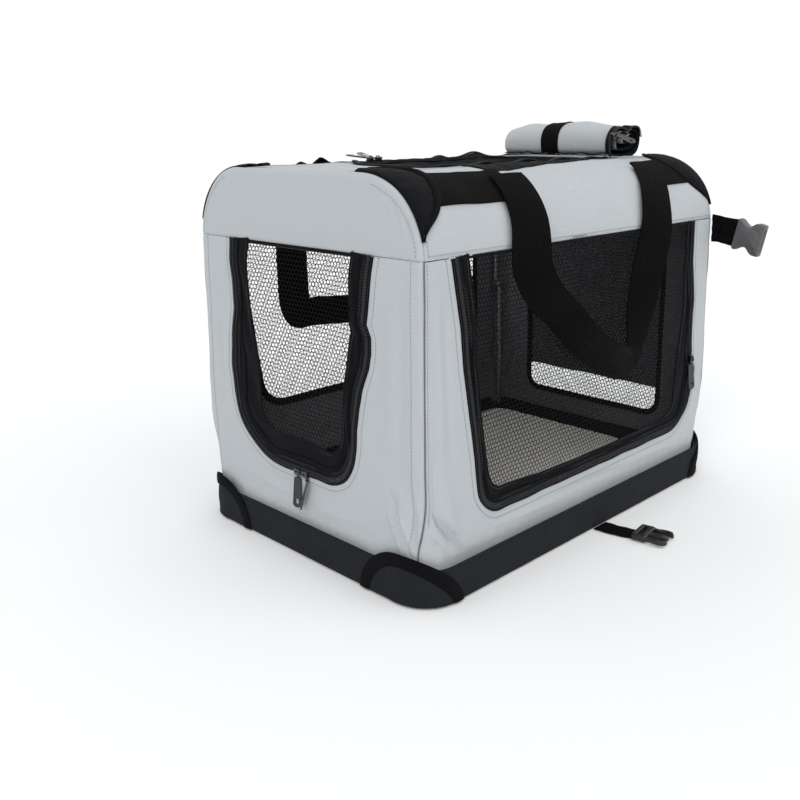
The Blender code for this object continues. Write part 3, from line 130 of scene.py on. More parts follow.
# How the cloth is made up
MIDDLE_HEIGHT = 0.22
CLOTH_THICKNESS = 0.0014
LINED_THICKNESS = 0.0011
BINDING_THICKNESS = 0.0010
TAPE_THICKNESS = 0.0009
THIN_THICKNESS = 0.0008
WALL_FOOT = 0.036
SEAM_TURN = math.radians(60)
EDGE_RADIUS = 0.007
NET_PITCH = 0.0058
NET_OPENING = 0.81
WINDOW_OPENING = 0.86
STITCH_PITCH = 0.0042
STITCH = (0.00145, 0.00035, 0.00035)
ARCH_STITCH = (0.0013, 0.00025, 0.00035)
FINE_PITCH = 0.0034
FINE_STITCH = (0.0011, 0.00025, 0.00035)
STITCH_LIFT = 0.0001
END_STITCHES = ((HALF_WIDTH - 0.0160, SEAM_HEIGHT - 0.003), (HALF_WIDTH - 0.0155, 0.075))
SIDE_STITCHES = ((HALF_LENGTH - 0.0060, SEAM_HEIGHT - 0.004), (HALF_LENGTH - 0.0060, 0.090))
ROOF_STITCHES = (HALF_LENGTH - 0.0085, 0.1055)
HOOD_STITCH_REACH = 0.283
HOOD_STITCH_ANGLES = (3.2, 86.5)
TEETH_PITCH = 0.0024
TOOTH = (0.00062, 0.0015, 0.0006)
TOOTH_LIFT = 0.0005
SEAM_ALLOWANCE = 0.004
BACKING_DEPTH = 0.0054
TUCK_REACH = 0.0016
RIPPLE_WAVES = 7
RIPPLE_SPREAD = 3.2
DOOR_STEPS = 360
HANDLE_STEPS = 240
CORNER_STEPS = 90
DOOR_HEM = 0.0125
WINDOW_HEM = 0.006
TAPE_WIDTH = 0.006
BINDING = 0.0155
PATCH_RIM = 0.0105
PATCH_SETBACK = 0.0015

# The fold's foot height, handed to dress for the pieces on the walls; dress only gives each of them its own
# mesh
FOLD_FOOT = 0.042

# The wave texture's period where its scale is 1
WAVE_PERIOD = 0.314

# The photograph's camera
LENS = 41.62
SENSOR_WIDTH = 36
CAMERA_PLACE = (-0.9308, -0.8122, 0.499)
CAMERA_YAW = math.radians(44.51)
CAMERA_PITCH = math.radians(10.55)
CAMERA_ROLL = math.radians(-0.58)
CAMERA_SHIFT = -0.125

# The floor's half width and how far it lies under the carrier
FLOOR_HALF = 6.0
FLOOR_DROP = 0.0004

# Each light's name, place, spread in degrees and strength
SUNS = [
    ("key", (-1.5, -1.0, 1.5), 40, 1.25),
    ("fill", (0.6, -1.6, 1.3), 60, 0.55),
    ("top", (0.3, 0.4, 2.0), 70, 0.55),
]


# Materials

def new_material(name):
    made = bpy.data.materials.new(name)
    made.use_nodes = True
    return made, made.node_tree, made.node_tree.nodes["Principled BSDF"]


def feed(tree, socket, value):
    """Link a socket to another one, or set it to a value."""
    if isinstance(value, bpy.types.NodeSocket):
        tree.links.new(value, socket)
    else:
        socket.default_value = value


def put(tree, node, **inputs):
    """Feed a node's inputs, named with an underscore for each space."""
    for name, value in inputs.items():
        feed(tree, node.inputs[name.replace("_", " ")], value)
    return node


def new_node(tree, kind, **inputs):
    return put(tree, tree.nodes.new("ShaderNode" + kind), **inputs)


def combined(tree, a, b, operation="ADD"):
    made = new_node(tree, "Math")
    made.operation = operation
    feed(tree, made.inputs[0], a)
    feed(tree, made.inputs[1], b)
    return made.outputs["Value"]


def wave(tree, vector, direction, period):
    made = new_node(tree, "TexWave", Vector=vector, Scale=WAVE_PERIOD / period)
    made.bands_direction = direction
    return made.outputs["Fac"]


def mottled(tree, shader, colour, shade, size):
    """Colour that wanders a little between two shades; gives the coordinates that it is laid by."""
    place = new_node(tree, "TexCoord").outputs["Object"]
    noise = new_node(tree, "TexNoise", Vector=place, Scale=1 / size, Detail=6, Roughness=0.65)
    ramp = new_node(tree, "ValToRGB", Fac=noise.outputs["Fac"])
    for stop, position, share in zip(ramp.color_ramp.elements, (0.32, 0.68), (shade, 1)):
        stop.position = position
        stop.color = (*[c * share for c in colour], 1)
    put(tree, shader, Base_Color=ramp.outputs["Color"])
    return place


def bumped(tree, shader, height, distance):
    bump = new_node(tree, "Bump", Height=height, Distance=distance)
    put(tree, shader, Normal=bump.outputs["Normal"])


def woven(name, colour, shade=0.93, period=0.0009, roughness=0.8, sheen=0.15):
    """Plain woven cloth: crossing threads as fine bump, slubs and a mottled colour."""
    made, tree, shader = new_material(name)
    place = mottled(tree, shader, colour, shade, 0.006)
    x, y, z = (wave(tree, place, axis, period) for axis in "XYZ")
    slub = new_node(tree, "TexNoise", Vector=place, Scale=900, Detail=3).outputs["Fac"]
    threads = combined(tree, combined(tree, x, y), z)
    bumped(tree, shader, combined(tree, threads, combined(tree, slub, 1.5, "MULTIPLY")), 0.00012)
    put(tree, shader, Roughness=roughness, Sheen_Weight=sheen, Sheen_Roughness=0.5, Specular_IOR_Level=0.05)
    return made


def ribbed(name, colour, period=0.0014, depth=0.0003):
    """Webbing and binding: close ribs across the strap, which its UVs carry."""
    made, tree, shader = new_material(name)
    uv = new_node(tree, "UVMap")
    uv.uv_map = "cut"
    mottled(tree, shader, colour, 0.72, 0.003)
    along = wave(tree, uv.outputs["UV"], "Y", period)
    across = wave(tree, uv.outputs["UV"], "X", period * 1.7)
    bumped(tree, shader, combined(tree, along, combined(tree, across, 0.6, "MULTIPLY")), depth)
    put(tree, shader, Roughness=0.72, Specular_IOR_Level=0.05)
    return made


def solid(name, colour, roughness, metallic=0.0, coat=0.0, grain=0.0005, depth=0.00002):
    """Metal or moulded plastic with a faint grain and uneven gloss."""
    made, tree, shader = new_material(name)
    place = mottled(tree, shader, colour, 0.86, grain * 20)
    fine = new_node(tree, "TexNoise", Vector=place, Scale=1 / grain, Detail=4)
    bumped(tree, shader, fine.outputs["Fac"], depth)
    put(tree, shader, Roughness=roughness, Metallic=metallic, Coat_Weight=coat)
    return made


def fleece(name, colour):
    made, tree, shader = new_material(name)
    place = mottled(tree, shader, colour, 0.82, 0.004)
    tufts = new_node(tree, "TexVoronoi", Vector=place, Scale=330)
    bumped(tree, shader, tufts.outputs["Distance"], 0.0025)
    put(tree, shader, Roughness=0.95, Sheen_Weight=0.5)
    return made


finish = {
    "grey": woven("grey_cloth", (0.515, 0.540, 0.560), shade=0.965),
    # A dark grey for the cord in the upright corner seams: painted shade of the seam's groove
    "painted_seam_shade": woven("painted_seam_shade", (0.16, 0.17, 0.18), period=0.0007),
    "grey_thread": solid("grey_thread", (0.33, 0.345, 0.357), 0.7),
    "lining": woven("lining", (0.135, 0.139, 0.147), period=0.0010, sheen=0.0),
    "black": woven("black_cloth", (0.0060, 0.0064, 0.0076), shade=0.7, period=0.0010, sheen=0.02),
    "base_cloth": woven("base_cloth", (0.0185, 0.0195, 0.0225), shade=0.85, period=0.0010, sheen=0.02),
    "black_thread": solid("black_thread", (0.020, 0.021, 0.023), 0.6),
    "net": woven("black_net", (0.0050, 0.0050, 0.0060), shade=0.8, period=0.0006, roughness=0.65, sheen=0.0),
    "webbing": ribbed("webbing", (0.0040, 0.0040, 0.0046)),
    "binding": ribbed("binding", (0.0055, 0.0057, 0.0066), period=0.0012, depth=0.0004),
    "tape": ribbed("zip_tape", (0.0032, 0.0032, 0.0037), period=0.0016, depth=0.00015),
    "teeth": solid("zip_teeth", (0.008, 0.008, 0.010), 0.62),
    "steel": solid("satin_steel", (0.30, 0.305, 0.315), 0.44, metallic=1.0),
    "zip_metal": solid("black_enamel", (0.004, 0.004, 0.005), 0.14, coat=0.5),
    "plastic": solid("buckle_plastic", (0.110, 0.110, 0.115), 0.38, grain=0.0004, depth=0.00004),
    "plastic_dark": solid("dark_plastic", (0.010, 0.010, 0.011), 0.34, grain=0.0004, depth=0.00004),
    "fleece": fleece("fleece", (0.90, 0.85, 0.77)),
    "board": solid("board", (0.10, 0.09, 0.08), 0.8),
}
CLOTH_FINISHES = ["grey", "lining", "grey_thread"]


# Arrays of vectors and points

def unit(vectors):
    vectors = np.array(vectors, float)
    return vectors / np.maximum(np.linalg.norm(vectors, axis=-1, keepdims=True), 1e-12)


def stacked(*columns):
    return np.stack(np.broadcast_arrays(*columns), axis=-1)


# Flat patterns: points (u, v) in the plane of a wall

def rounded(corners, steps=8):
    """Corner points (u, v, radius) joined by straight lines, each corner rounded by its radius."""
    points = []
    for i, (u, v, radius) in enumerate(corners):
        if radius == 0:
            points.append((u, v))
            continue
        here = Vector((u, v))
        back = (Vector(corners[i - 1][:2]) - here).normalized()
        ahead = (Vector(corners[(i + 1) % len(corners)][:2]) - here).normalized()
        half = back.angle(ahead) / 2
        centre = here + (back + ahead).normalized() * radius / math.sin(half)
        first = here + back * radius / math.tan(half) - centre
        sweep = first.angle_signed(here + ahead * radius / math.tan(half) - centre)
        for k in range(steps + 1):
            spoke = first.copy()
            spoke.rotate(Matrix.Rotation(-sweep * k / steps, 2))
            points.append(tuple(centre + spoke))
    return points


def tapered(start, stop, steps):
    """A rounded outline from start to stop, each its place, half width and corners' radius."""
    (u1, half1, radius1), (u2, half2, radius2) = start, stop
    corners = [(u1, -half1, radius1), (u2, -half2, radius2), (u2, half2, radius2), (u1, half1, radius1)]
    return rounded(corners, steps)


def mirrored(half):
    """Corner points on both sides of u = 0, from those on one side."""
    return half + [(-u, v, radius) for u, v, radius in half[::-1]]


def run_of(path, closed):
    """A path's points, closed by its first one if it is a ring, and the distance run to each."""
    points = np.array(path, float)
    if closed:
        points = np.vstack([points, points[:1]])
    return points, np.concatenate([[0], np.cumsum(np.linalg.norm(np.diff(points, axis=0), axis=1))])


def length_of(path, closed=False):
    return float(run_of(path, closed)[1][-1])


def read_evenly(path, count, closed=False):
    """The path's points read again at equal steps along it."""
    points, run = run_of(path, closed)
    wanted = np.linspace(0, run[-1], count, endpoint=not closed)
    return np.column_stack([np.interp(wanted, run, column) for column in points.T])


def along_path(points, closed=False):
    """The path's direction at each of its points."""
    if closed:
        return unit(np.roll(points, -1, axis=0) - np.roll(points, 1, axis=0))
    return unit(np.gradient(points, axis=0))


def left_normals(points, closed=False):
    """Unit vectors to the left of a flat path at each of its points."""
    along = along_path(points, closed)
    return np.column_stack([-along[:, 1], along[:, 0]])


def shifted(path, distance, closed=False, count=240):
    """The path moved to its left by a distance."""
    points = read_evenly(path, count, closed)
    return points + left_normals(points, closed) * distance


def steady(values, reach):
    """Values along a path, each averaged with its neighbours."""
    wide = np.pad(values, ((reach, reach), (0, 0)), mode="edge")
    kernel = np.ones(2 * reach + 1) / (2 * reach + 1)
    return np.column_stack([np.convolve(column, kernel, mode="valid") for column in wide.T])


def turned_left(points):
    """A ring of points run anticlockwise."""
    area = np.sum(points[:, 0] * np.roll(points[:, 1], -1) - np.roll(points[:, 0], -1) * points[:, 1])
    return points[::-1] if area < 0 else points


def aligned(points):
    """A ring of points run anticlockwise from its highest point."""
    points = turned_left(points)
    near = np.abs(points[:, 0]) + (points[:, 1].max() - points[:, 1]) * 50
    return np.roll(points, -int(np.argmin(near)), axis=0)


END_DOORWAY = rounded(mirrored([
    (-END_DOOR_TOP, DOOR_TOP, 0), (-END_DOOR_SIDE, END_DOOR_FOOT, END_DOOR_CORNER),
]), 30)
SIDE_DOORWAY = rounded([
    (SIDE_DOOR_TOP_FRONT, DOOR_TOP, 0), (SIDE_DOOR_FOOT_FRONT, SIDE_DOOR_FOOT, SIDE_DOOR_CORNER),
    (SIDE_DOOR_REAR, SIDE_DOOR_FOOT, SIDE_DOOR_CORNER), (SIDE_DOOR_REAR, DOOR_TOP, 0),
], 30)
HATCHWAY = rounded([
    (HATCH_REAR, HATCH_HALF_WIDTH, 0), (HATCH_FRONT, HATCH_HALF_WIDTH, HATCH_CORNER),
    (HATCH_FRONT, -HATCH_HALF_WIDTH, HATCH_CORNER), (HATCH_REAR, -HATCH_HALF_WIDTH, 0),
])
END_WINDOW = rounded(mirrored([
    (-REAR_WINDOW_TOP, WINDOW_TOP, WINDOW_CORNER), (-REAR_WINDOW_SIDE, REAR_WINDOW_FOOT, WINDOW_CORNER),
]))
SIDE_WINDOW = rounded([
    (SIDE_DOOR_TOP_FRONT, WINDOW_TOP, WINDOW_CORNER),
    (SIDE_DOOR_FOOT_FRONT, SIDE_WINDOW_FOOT, SIDE_DOOR_CORNER),
    (SIDE_DOOR_REAR, SIDE_WINDOW_FOOT, SIDE_DOOR_CORNER),
    (SIDE_DOOR_REAR, WINDOW_TOP, WINDOW_CORNER),
])


# Where a flat pattern lies on the cover: u and v in the pattern, out is the height off the cloth

def drawn_in(v):
    """How far an upright corner has come to the tray's round corner: 0 above, 1 at the tray."""
    share = np.clip((0.150 - v) / 0.100, 0, 1)
    return share * share * (3 - 2 * share)


def seam_turn(v):
    """How far round the corner the end wall's cloth reaches; the side's comes further round below."""
    return SEAM_TURN - math.radians(26) * drawn_in(v)


def corner_radius(v):
    return EDGE_RADIUS + (TRAY_INNER_CORNER - EDGE_RADIUS) * drawn_in(v)


def round_edge(inset, radius, most, out):
    """Cloth turning round an edge: its shift past the edge and its distance behind the face."""
    turn = np.clip(1 - inset / radius, 0, 1) * most
    shift = np.where(turn > 0, inset - radius * (1 - np.sin(turn)), 0.0) + out * np.sin(turn)
    return shift, radius * (1 - np.cos(turn)) - out * np.cos(turn)


def on_end(u, v, out, end):
    """A point on an end wall, whose edge turns towards the side wall or the hood."""
    side = np.abs(u)
    above = v > SEAM_HEIGHT
    rise = np.where(above, v - SEAM_HEIGHT, 0.0)
    run = np.maximum(side - ROOF_HALF_WIDTH, 0.0)
    reach = np.maximum(np.hypot(run, rise), 1e-9)
    to_side = np.where(above, run / reach, 1.0)
    to_roof = np.where(above, rise / reach, 0.0)
    inset = np.where(above, SHOULDER_RADIUS - reach, HALF_WIDTH - side)
    radius = np.where(above, EDGE_RADIUS, corner_radius(v))
    shift, behind = round_edge(inset, radius, seam_turn(v), out)
    facing = np.where(u < 0, -1.0, 1.0)
    return stacked(end * (HALF_LENGTH - behind), facing * (side + to_side * shift), v + to_roof * shift)


def on_side(u, v, out, side):
    """A point on a side wall, whose ends turn towards the end walls."""
    inset = HALF_LENGTH - np.abs(u)
    shift, behind = round_edge(inset, corner_radius(v), math.pi / 2 - seam_turn(v), out)
    facing = np.where(u < 0, -1.0, 1.0)
    return stacked(facing * (np.abs(u) + shift), side * (HALF_WIDTH - behind), v + 0 * u)


def on_hood(x, angle, out, side):
    """A point on the rounded panel beside the roof, by its angle above the seam in degrees."""
    shift, behind = round_edge(HALF_LENGTH - np.abs(x), EDGE_RADIUS, math.pi / 2 - SEAM_TURN, out)
    reach = SHOULDER_RADIUS - behind
    past = np.maximum(angle - 90, 0)
    rise = np.radians(np.minimum(angle, 90))
    y = ROOF_HALF_WIDTH + reach * np.cos(rise) - np.radians(past) * SHOULDER_RADIUS
    facing = np.where(x < 0, -1.0, 1.0)
    return stacked(facing * (np.abs(x) + shift), side * y, SEAM_HEIGHT + reach * np.sin(rise))


# How the cloth lies: heights off the flat pattern, in metres

def bell(x, middle, width):
    """A smooth bump of height 1."""
    return np.exp(-(((x - middle) / width) ** 2))


def bumps(x, table):
    """Smooth bumps in a row, each (middle, width, height)."""
    return sum(height * bell(x, middle, width) for middle, width, height in table)


def waves(x, length):
    return np.sin(x * 2 * math.pi / length)


def ripples(u, v, size, seed):
    """Smooth unevenness between about -1 and 1, with lumps of the given size."""
    random = np.random.default_rng(seed)
    total = 0.0
    for _ in range(RIPPLE_WAVES):
        angle, phase = random.uniform(0, 2 * math.pi, 2)
        wavelength = size * random.uniform(0.7, 1.5)
        along = u * math.cos(angle) + v * math.sin(angle)
        total = total + np.sin(along * 2 * math.pi / wavelength + phase)
    return total / RIPPLE_SPREAD


def creases(u, v, table):
    """Soft folds along lines, each (u, v, to u, to v, half width, height) in millimetres."""
    total = 0.0
    for u1, v1, u2, v2, width, height in np.array(table) / 1000:
        du, dv = u2 - u1, v2 - v1
        share = ((u - u1) * du + (v - v1) * dv) / (du * du + dv * dv)
        across = ((u - u1) * dv - (v - v1) * du) / math.hypot(du, dv)
        total = total + height * bell(across, 0, width) * np.sin(math.pi * np.clip(share, 0, 1)) ** 0.8
    return total


def tuck(distance, depth=0.0012):
    """The dip where an edge is turned in at a seam."""
    return -depth * bell(distance, 0, TUCK_REACH)


def metres(table):
    """A table's rows, given in millimetres."""
    return [tuple(value / 1000 for value in row) for row in table]


def read_table(value, table):
    """A value read between rows of (place, value) in millimetres."""
    places, values = np.array(table).T / 1000
    return np.interp(value, places, values)


def crowned(share):
    """The round back of a binding across its width."""
    return np.sqrt(np.clip(1 - (2 * share - 1) ** 2, 0, 1))


def web_ribs(share, count, depth):
    """The ribs across a webbing's width."""
    return depth * np.cos(share * 2 * math.pi * count)


# Meshes: a part is (points, faces, finish of each face, flat pattern of each point)

def plain_part(points, faces, mark):
    return points, faces, np.full(len(faces), mark), np.zeros((len(points), 2))


def quads(rows, columns, closed):
    i, j = np.meshgrid(np.arange(rows - 1), np.arange(columns if closed else columns - 1), indexing="ij")
    k = (j + 1) % columns
    faces = np.stack([i * columns + j, (i + 1) * columns + j, (i + 1) * columns + k, i * columns + k], -1)
    return faces.reshape(-1, 4)


def cloth_part(points, thickness, front=0, back=1, closed=False, toward=None, uv=None):
    """Cloth with both its faces and its edges, laid through a grid of points on its outer face."""
    rows, columns = points.shape[:2]
    if closed:
        across = np.roll(points, -1, axis=1) - np.roll(points, 1, axis=1)
    else:
        across = np.gradient(points, axis=1)
    normal = unit(np.cross(np.gradient(points, axis=0), across))
    if toward is None:
        toward = points - np.array((0, 0, MIDDLE_HEIGHT))
    outer = quads(rows, columns, closed)
    if np.sum(normal * toward) < 0:
        normal = -normal
        outer = outer[:, ::-1]
    size = rows * columns
    ends = np.arange(columns if closed else columns - 1)
    edges = [(row * columns + ends, row * columns + (ends + 1) % columns) for row in (0, rows - 1)]
    if not closed:
        steps = np.arange(rows - 1) * columns
        edges += [(steps + column, steps + column + columns) for column in (0, columns - 1)]
    rim = np.vstack([np.stack([a, b, b + size, a + size], -1) for a, b in edges])
    faces = np.vstack([outer, outer[:, ::-1] + size, rim])
    marks = np.full(len(faces), back)
    marks[:len(outer)] = front
    if uv is None:
        uv = np.zeros((rows, columns, 2))
    places = np.vstack([points.reshape(-1, 3), (points - normal * thickness).reshape(-1, 3)])
    return places, faces, marks, np.vstack([uv.reshape(-1, 2)] * 2)


def inside(outline, u, v):
    """Which points lie inside a closed outline."""
    found = np.zeros(len(u), bool)
    for (u1, v1), (u2, v2) in zip(outline, np.roll(outline, -1, axis=0)):
        crosses = (v1 > v) != (v2 > v)
        if v1 != v2:
            found ^= crosses & (u < (u2 - u1) * (v - v1) / (v2 - v1) + u1)
    return found


def net_part(outline, place, opening=NET_OPENING):
    """A knitted net: staggered six-sided rings of flat strand that fill an outline."""
    low = outline.min(axis=0)
    high = outline.max(axis=0)
    rows = np.arange(low[1], high[1], NET_PITCH * math.sqrt(3) / 2)
    u, v = np.meshgrid(np.arange(low[0], high[0], NET_PITCH), rows, indexing="ij")
    u = (u + np.arange(len(rows)) % 2 * NET_PITCH / 2).ravel()
    v = v.ravel()
    keep = inside(outline, u, v)
    angles = np.radians(30 + 60 * np.arange(6))
    reach = NET_PITCH / math.sqrt(3)
    rings = []
    for wide, tall in ((1.0, 1.0), (opening, opening * 1.02)):
        around_u = u[keep][:, None] + reach * wide * np.cos(angles)
        around_v = v[keep][:, None] + reach * tall * np.sin(angles)
        rings.append(place(around_u, around_v))
    k = np.arange(6)
    cell = np.stack([k, (k + 1) % 6, (k + 1) % 6 + 6, k + 6], -1)
    faces = (cell[None] + 12 * np.arange(keep.sum())[:, None, None]).reshape(-1, 4)
    return plain_part(np.concatenate(rings, axis=1).reshape(-1, 3), faces, 0)


def boxes_part(centres, long_half, wide_half, high_half, mark):
    """Small blocks, each from its centre and its three half edges: stitches and zip teeth."""
    signs = np.array([(a, b, c) for a in (-1, 1) for b in (-1, 1) for c in (-1, 1)], float)
    halves = np.stack(np.broadcast_arrays(long_half, wide_half, high_half), axis=1)
    points = centres[:, None, :] + np.einsum("ks,nsd->nkd", signs, halves)
    cube = np.array([(0, 1, 3, 2), (4, 6, 7, 5), (0, 4, 5, 1), (2, 3, 7, 6), (0, 2, 6, 4), (1, 5, 7, 3)])
    faces = (cube[None] + 8 * np.arange(len(centres))[:, None, None]).reshape(-1, 4)
    return plain_part(points.reshape(-1, 3), faces, mark)


def rings_part(rings, centres, mark=0, flip=False):
    """Rings of points joined one to the next, with a fan from a centre point over each end."""
    rows = len(rings)
    count = len(rings[0])
    a = np.arange(count)
    b = (a + 1) % count
    total = rows * count
    last = total - count
    hub = np.full(count, total)
    fans = [np.stack([a, b, hub, hub], -1), np.stack([last + b, last + a, hub + 1, hub + 1], -1)]
    faces = np.vstack([quads(rows, count, True), *fans])
    if flip:
        faces = faces[:, ::-1]
    return plain_part(np.vstack([*rings, *np.reshape(centres, (2, 1, 3))]), faces, mark)


def tube_part(path, radius, sides=8, closed=False, mark=0):
    """Round cord, piping or wire along points in space, closed at its ends."""
    path = np.array(path, float)
    along = along_path(path, closed)
    across = np.cross(along[0], (0.31, 0.47, 0.83))
    angles = 2 * math.pi * np.arange(sides) / sides
    rings = []
    for point, step in zip(path, along):
        across = unit(across - step * np.dot(across, step))
        spokes = np.outer(np.cos(angles), across) + np.outer(np.sin(angles), np.cross(step, across))
        rings.append(point + radius * spokes)
    if not closed:
        return rings_part(rings, path[[0, -1]], mark)
    faces = quads(len(path) + 1, sides, True) % (len(path) * sides)
    return plain_part(np.vstack(rings), faces, mark)


def slab_part(outline, profile, origin, u, v, w, mark=0):
    """A moulded plate: an outline in u and v, built up by (inset, height) steps along w."""
    outline = turned_left(np.array(outline, float))
    left = left_normals(outline, True)
    u, v, w = unit(u), unit(v), unit(w)
    rings = []
    for inset, height in profile:
        flat = outline + left * inset
        rings.append(np.array(origin) + flat[:, :1] * u + flat[:, 1:] * v + height * w)
    centres = [rings[0].mean(axis=0), rings[-1].mean(axis=0)]
    return rings_part(rings, centres, mark, np.dot(np.cross(u, v), w) >= 0)


def piece(name, parts, materials):
    """One object made of parts, each a set of points and four-cornered faces."""
    points, faces, marks, flat = zip(*parts)
    starts = np.cumsum([0] + [len(some) for some in points])
    faces = np.vstack([some + start for some, start in zip(faces, starts)])
    rows = [tuple(dict.fromkeys(face)) for face in faces.tolist()]
    kept = [i for i, row in enumerate(rows) if len(row) >= 3]
    mesh = bpy.data.meshes.new(name)
    mesh.from_pydata(np.vstack(points).tolist(), [], [rows[i] for i in kept])
    mesh.polygons.foreach_set("material_index", np.concatenate(marks)[kept].astype(np.int32))
    layer = mesh.uv_layers.new(name="cut")
    corners = np.zeros(len(mesh.loops), np.int32)
    mesh.loops.foreach_get("vertex_index", corners)
    layer.data.foreach_set("uv", np.vstack(flat)[corners].astype(np.float32).ravel())
    for material in materials:
        mesh.materials.append(finish[material])
    mesh.shade_smooth()
    mesh.set_sharp_from_angle(angle=math.radians(38))
    made = bpy.data.objects.new(name, mesh)
    bpy.context.scene.collection.objects.link(made)
    return made


def dress(made, body, nodes=(), fold=None):
    """Put a piece on its body, in place of its CAD nodes, and give it its own mesh when a fold is given."""
    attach(made, body)
    if nodes:
        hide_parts(*nodes)
    if fold is not None:
        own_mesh(made)


# Sewn details

def normals_along(place, path):
    """Points and outward directions on the cloth at points of a flat path."""
    u, v = np.array(path).T
    base = place(u, v, 0.0)
    return base, unit(place(u, v, 0.0004) - base)


def bars(base, out, lift, halves, mark, closed=False):
    """Short bars that lie on the cloth along a row of points."""
    along = unit(np.roll(base, -1, axis=0) - base) if closed else along_path(base)
    length, width, height = halves
    return boxes_part(base + out * lift, along * length, np.cross(out, along) * width, out * height, mark)


def stitches(place, path, closed=False, pitch=STITCH_PITCH, mark=2, size=STITCH):
    """A row of stitches: short threads that lie on the cloth along a flat path."""
    count = max(int(length_of(path, closed) / pitch), 2)
    base, out = normals_along(place, read_evenly(path, count, closed))
    return bars(base, out, STITCH_LIFT, size, mark, closed)


def seam_stitches(place, upper, lower):
    """A row of stitches beside each of a wall's upright seams, between two points."""
    return [stitches(place, np.array([upper, lower]) * (way, 1)) for way in (-1, 1)]


def teeth(place, path, mark, phase=0):
    """Half of a zip's teeth: a close row of short bars across a flat path."""
    count = int(length_of(path) / TEETH_PITCH)
    base, out = normals_along(place, read_evenly(path, 2 * count)[phase::2])
    return bars(base, out, TOOTH_LIFT, TOOTH, mark)


def band_part(place, inner, outer, shares, height, thickness, front=0, back=0, closed=False):
    """Cloth between two flat paths with equally many points, its height set by the share across."""
    share = np.array(shares)[:, None]
    grid = inner[None] + (outer - inner)[None] * share[..., None]
    u, v = grid[..., 0], grid[..., 1]
    run = np.linspace(0, 1, len(inner))[None] + 0 * u
    out = height(u, v, share + 0 * u, run)
    uv = stacked(share * 0.02, run * length_of(outer, closed))
    return cloth_part(place(u, v, out), thickness, front, back, closed, uv=uv)


EDGE_SHARES = [0, 0.012, 0.035, 0.07, *np.linspace(0.11, 0.89, 26), 0.93, 0.965, 0.988, 1]


def wall_part(place, hole, closed, half, top, count, hem):
    """A wall's cloth, from the edge of its opening to the seams and the foot."""
    def height(u, v, share, run):
        return tuck(np.minimum(half - np.abs(u), SEAM_HEIGHT - v)) + tuck(share * hem, 0.0006)

    outer = [(-half, top), (-half, WALL_FOOT), (half, WALL_FOOT), (half, top)]
    if closed:
        outer = aligned(read_evenly([(0, top), *outer, (0, top)], count + 1)[:-1])
        inner = aligned(read_evenly(hole, count, True))
    else:
        outer = read_evenly(outer, count)
        inner = read_evenly(hole, count)
    return band_part(place, inner, outer, EDGE_SHARES, height, CLOTH_THICKNESS, 0, 1, closed)


def foot_dip(v):
    """The cloth goes down inside the tray, so its lowest stretch leans in."""
    return -0.0016 * np.clip((0.060 - v) / 0.016, 0, 1) ** 2


def seam_backing(place, start, stop):
    """The seam allowance inside the cover, behind the seam under the hood."""
    path = [(start, SEAM_HEIGHT - 0.0027), (stop, SEAM_HEIGHT - 0.0027)]
    base, out = normals_along(place, read_evenly(path, 120))
    return tube_part(base - out * BACKING_DEPTH, 0.0023, mark=1)


def wall_piece(word, parts):
    made = piece(f"{word}_cloth", parts, CLOTH_FINISHES)
    dress(made, "root", [f"{word}_wall"], FOLD_FOOT)


# The end walls

FRONT_FOLDS = [
    (-168, 355, -160, 120, 6.0, -1.6), (-150, 330, -146, 150, 8.0, 1.3), (-182, 300, -180, 95, 4.5, 1.0),
    (-172, 150, -187, 56, 4.5, -2.4), (-158, 135, -176, 52, 5.0, 2.0), (-150, 112, -160, 50, 4.0, -1.4),
    (-186, 120, -193, 66, 3.0, 1.8), (-146, 122, -180, 54, 2.6, -4.6), (-155, 112, -188, 56, 2.6, 4.0),
    (-138, 104, -166, 50, 2.8, 2.8), (168, 355, 162, 110, 7.0, -1.5), (150, 300, 150, 130, 8.0, 1.2),
    (176, 150, 188, 58, 5.0, -2.2), (162, 125, 174, 52, 5.0, 1.8), (-150, 436, -166, 404, 3.0, -1.6),
    (-156, 428, -172, 396, 2.6, 1.2), (-166, 418, -180, 390, 2.2, -1.3), (152, 434, 168, 402, 3.0, -1.4),
    (-80, 90, 70, 83, 7.0, -1.0), (-120, 72, 20, 64, 5.0, 0.9), (10, 70, 130, 78, 5.0, 0.8),
]
FRONT_RIGHT_PULL = [(110, -8), (150, -14), (177, -16), (201, -14), (225, -10), (249, -2), (266, 0), (284, -1),
                    (297, -9), (312, -8), (335, -7), (369, -5)]
FRONT_LEFT_PULL = [(110, 5), (150, 13), (178, 17), (210, 18), (250, 12), (285, 2), (320, 2), (345, 4),
                   (369, 3)]


def front_relief(u, v):
    """The end wall swells a little, with soft folds beside its corners and gathers at its foot."""
    swell = 0.0032 * (1 - np.clip(np.abs(u) / HALF_WIDTH, 0, 1) ** 2.5) * np.clip((v - 0.05) / 0.08, 0, 1)
    swell = swell * (1 - bell(v, SEAM_HEIGHT, 0.016))
    gathers = 0.0004 * waves(u, 0.017) * bell(v, 0.046, 0.012)
    return swell + creases(u, v, FRONT_FOLDS) + gathers + 0.0006 * ripples(u, v, 0.085, 3) + foot_dip(v)


def rear_relief(u, v):
    return front_relief(-u, v) * 0.9 + 0.0005 * ripples(u, v, 0.07, 8)


def pulled(u, v):
    """The end doorway's sides are pulled out of line by their zip; u and v as sewn give u as it lies."""
    near = bell(np.abs(u), 0.116, 0.042) * np.clip((HALF_WIDTH - np.abs(u)) / 0.05, 0, 1)
    return u + near * np.where(u < 0, -read_table(v, FRONT_RIGHT_PULL), read_table(v, FRONT_LEFT_PULL))


def front_place(u, v, out):
    u = pulled(u, v)
    return on_end(u, v, out + front_relief(u, v), -1)


def rear_place(u, v, out):
    return on_end(u, v, out + rear_relief(u, v), 1)


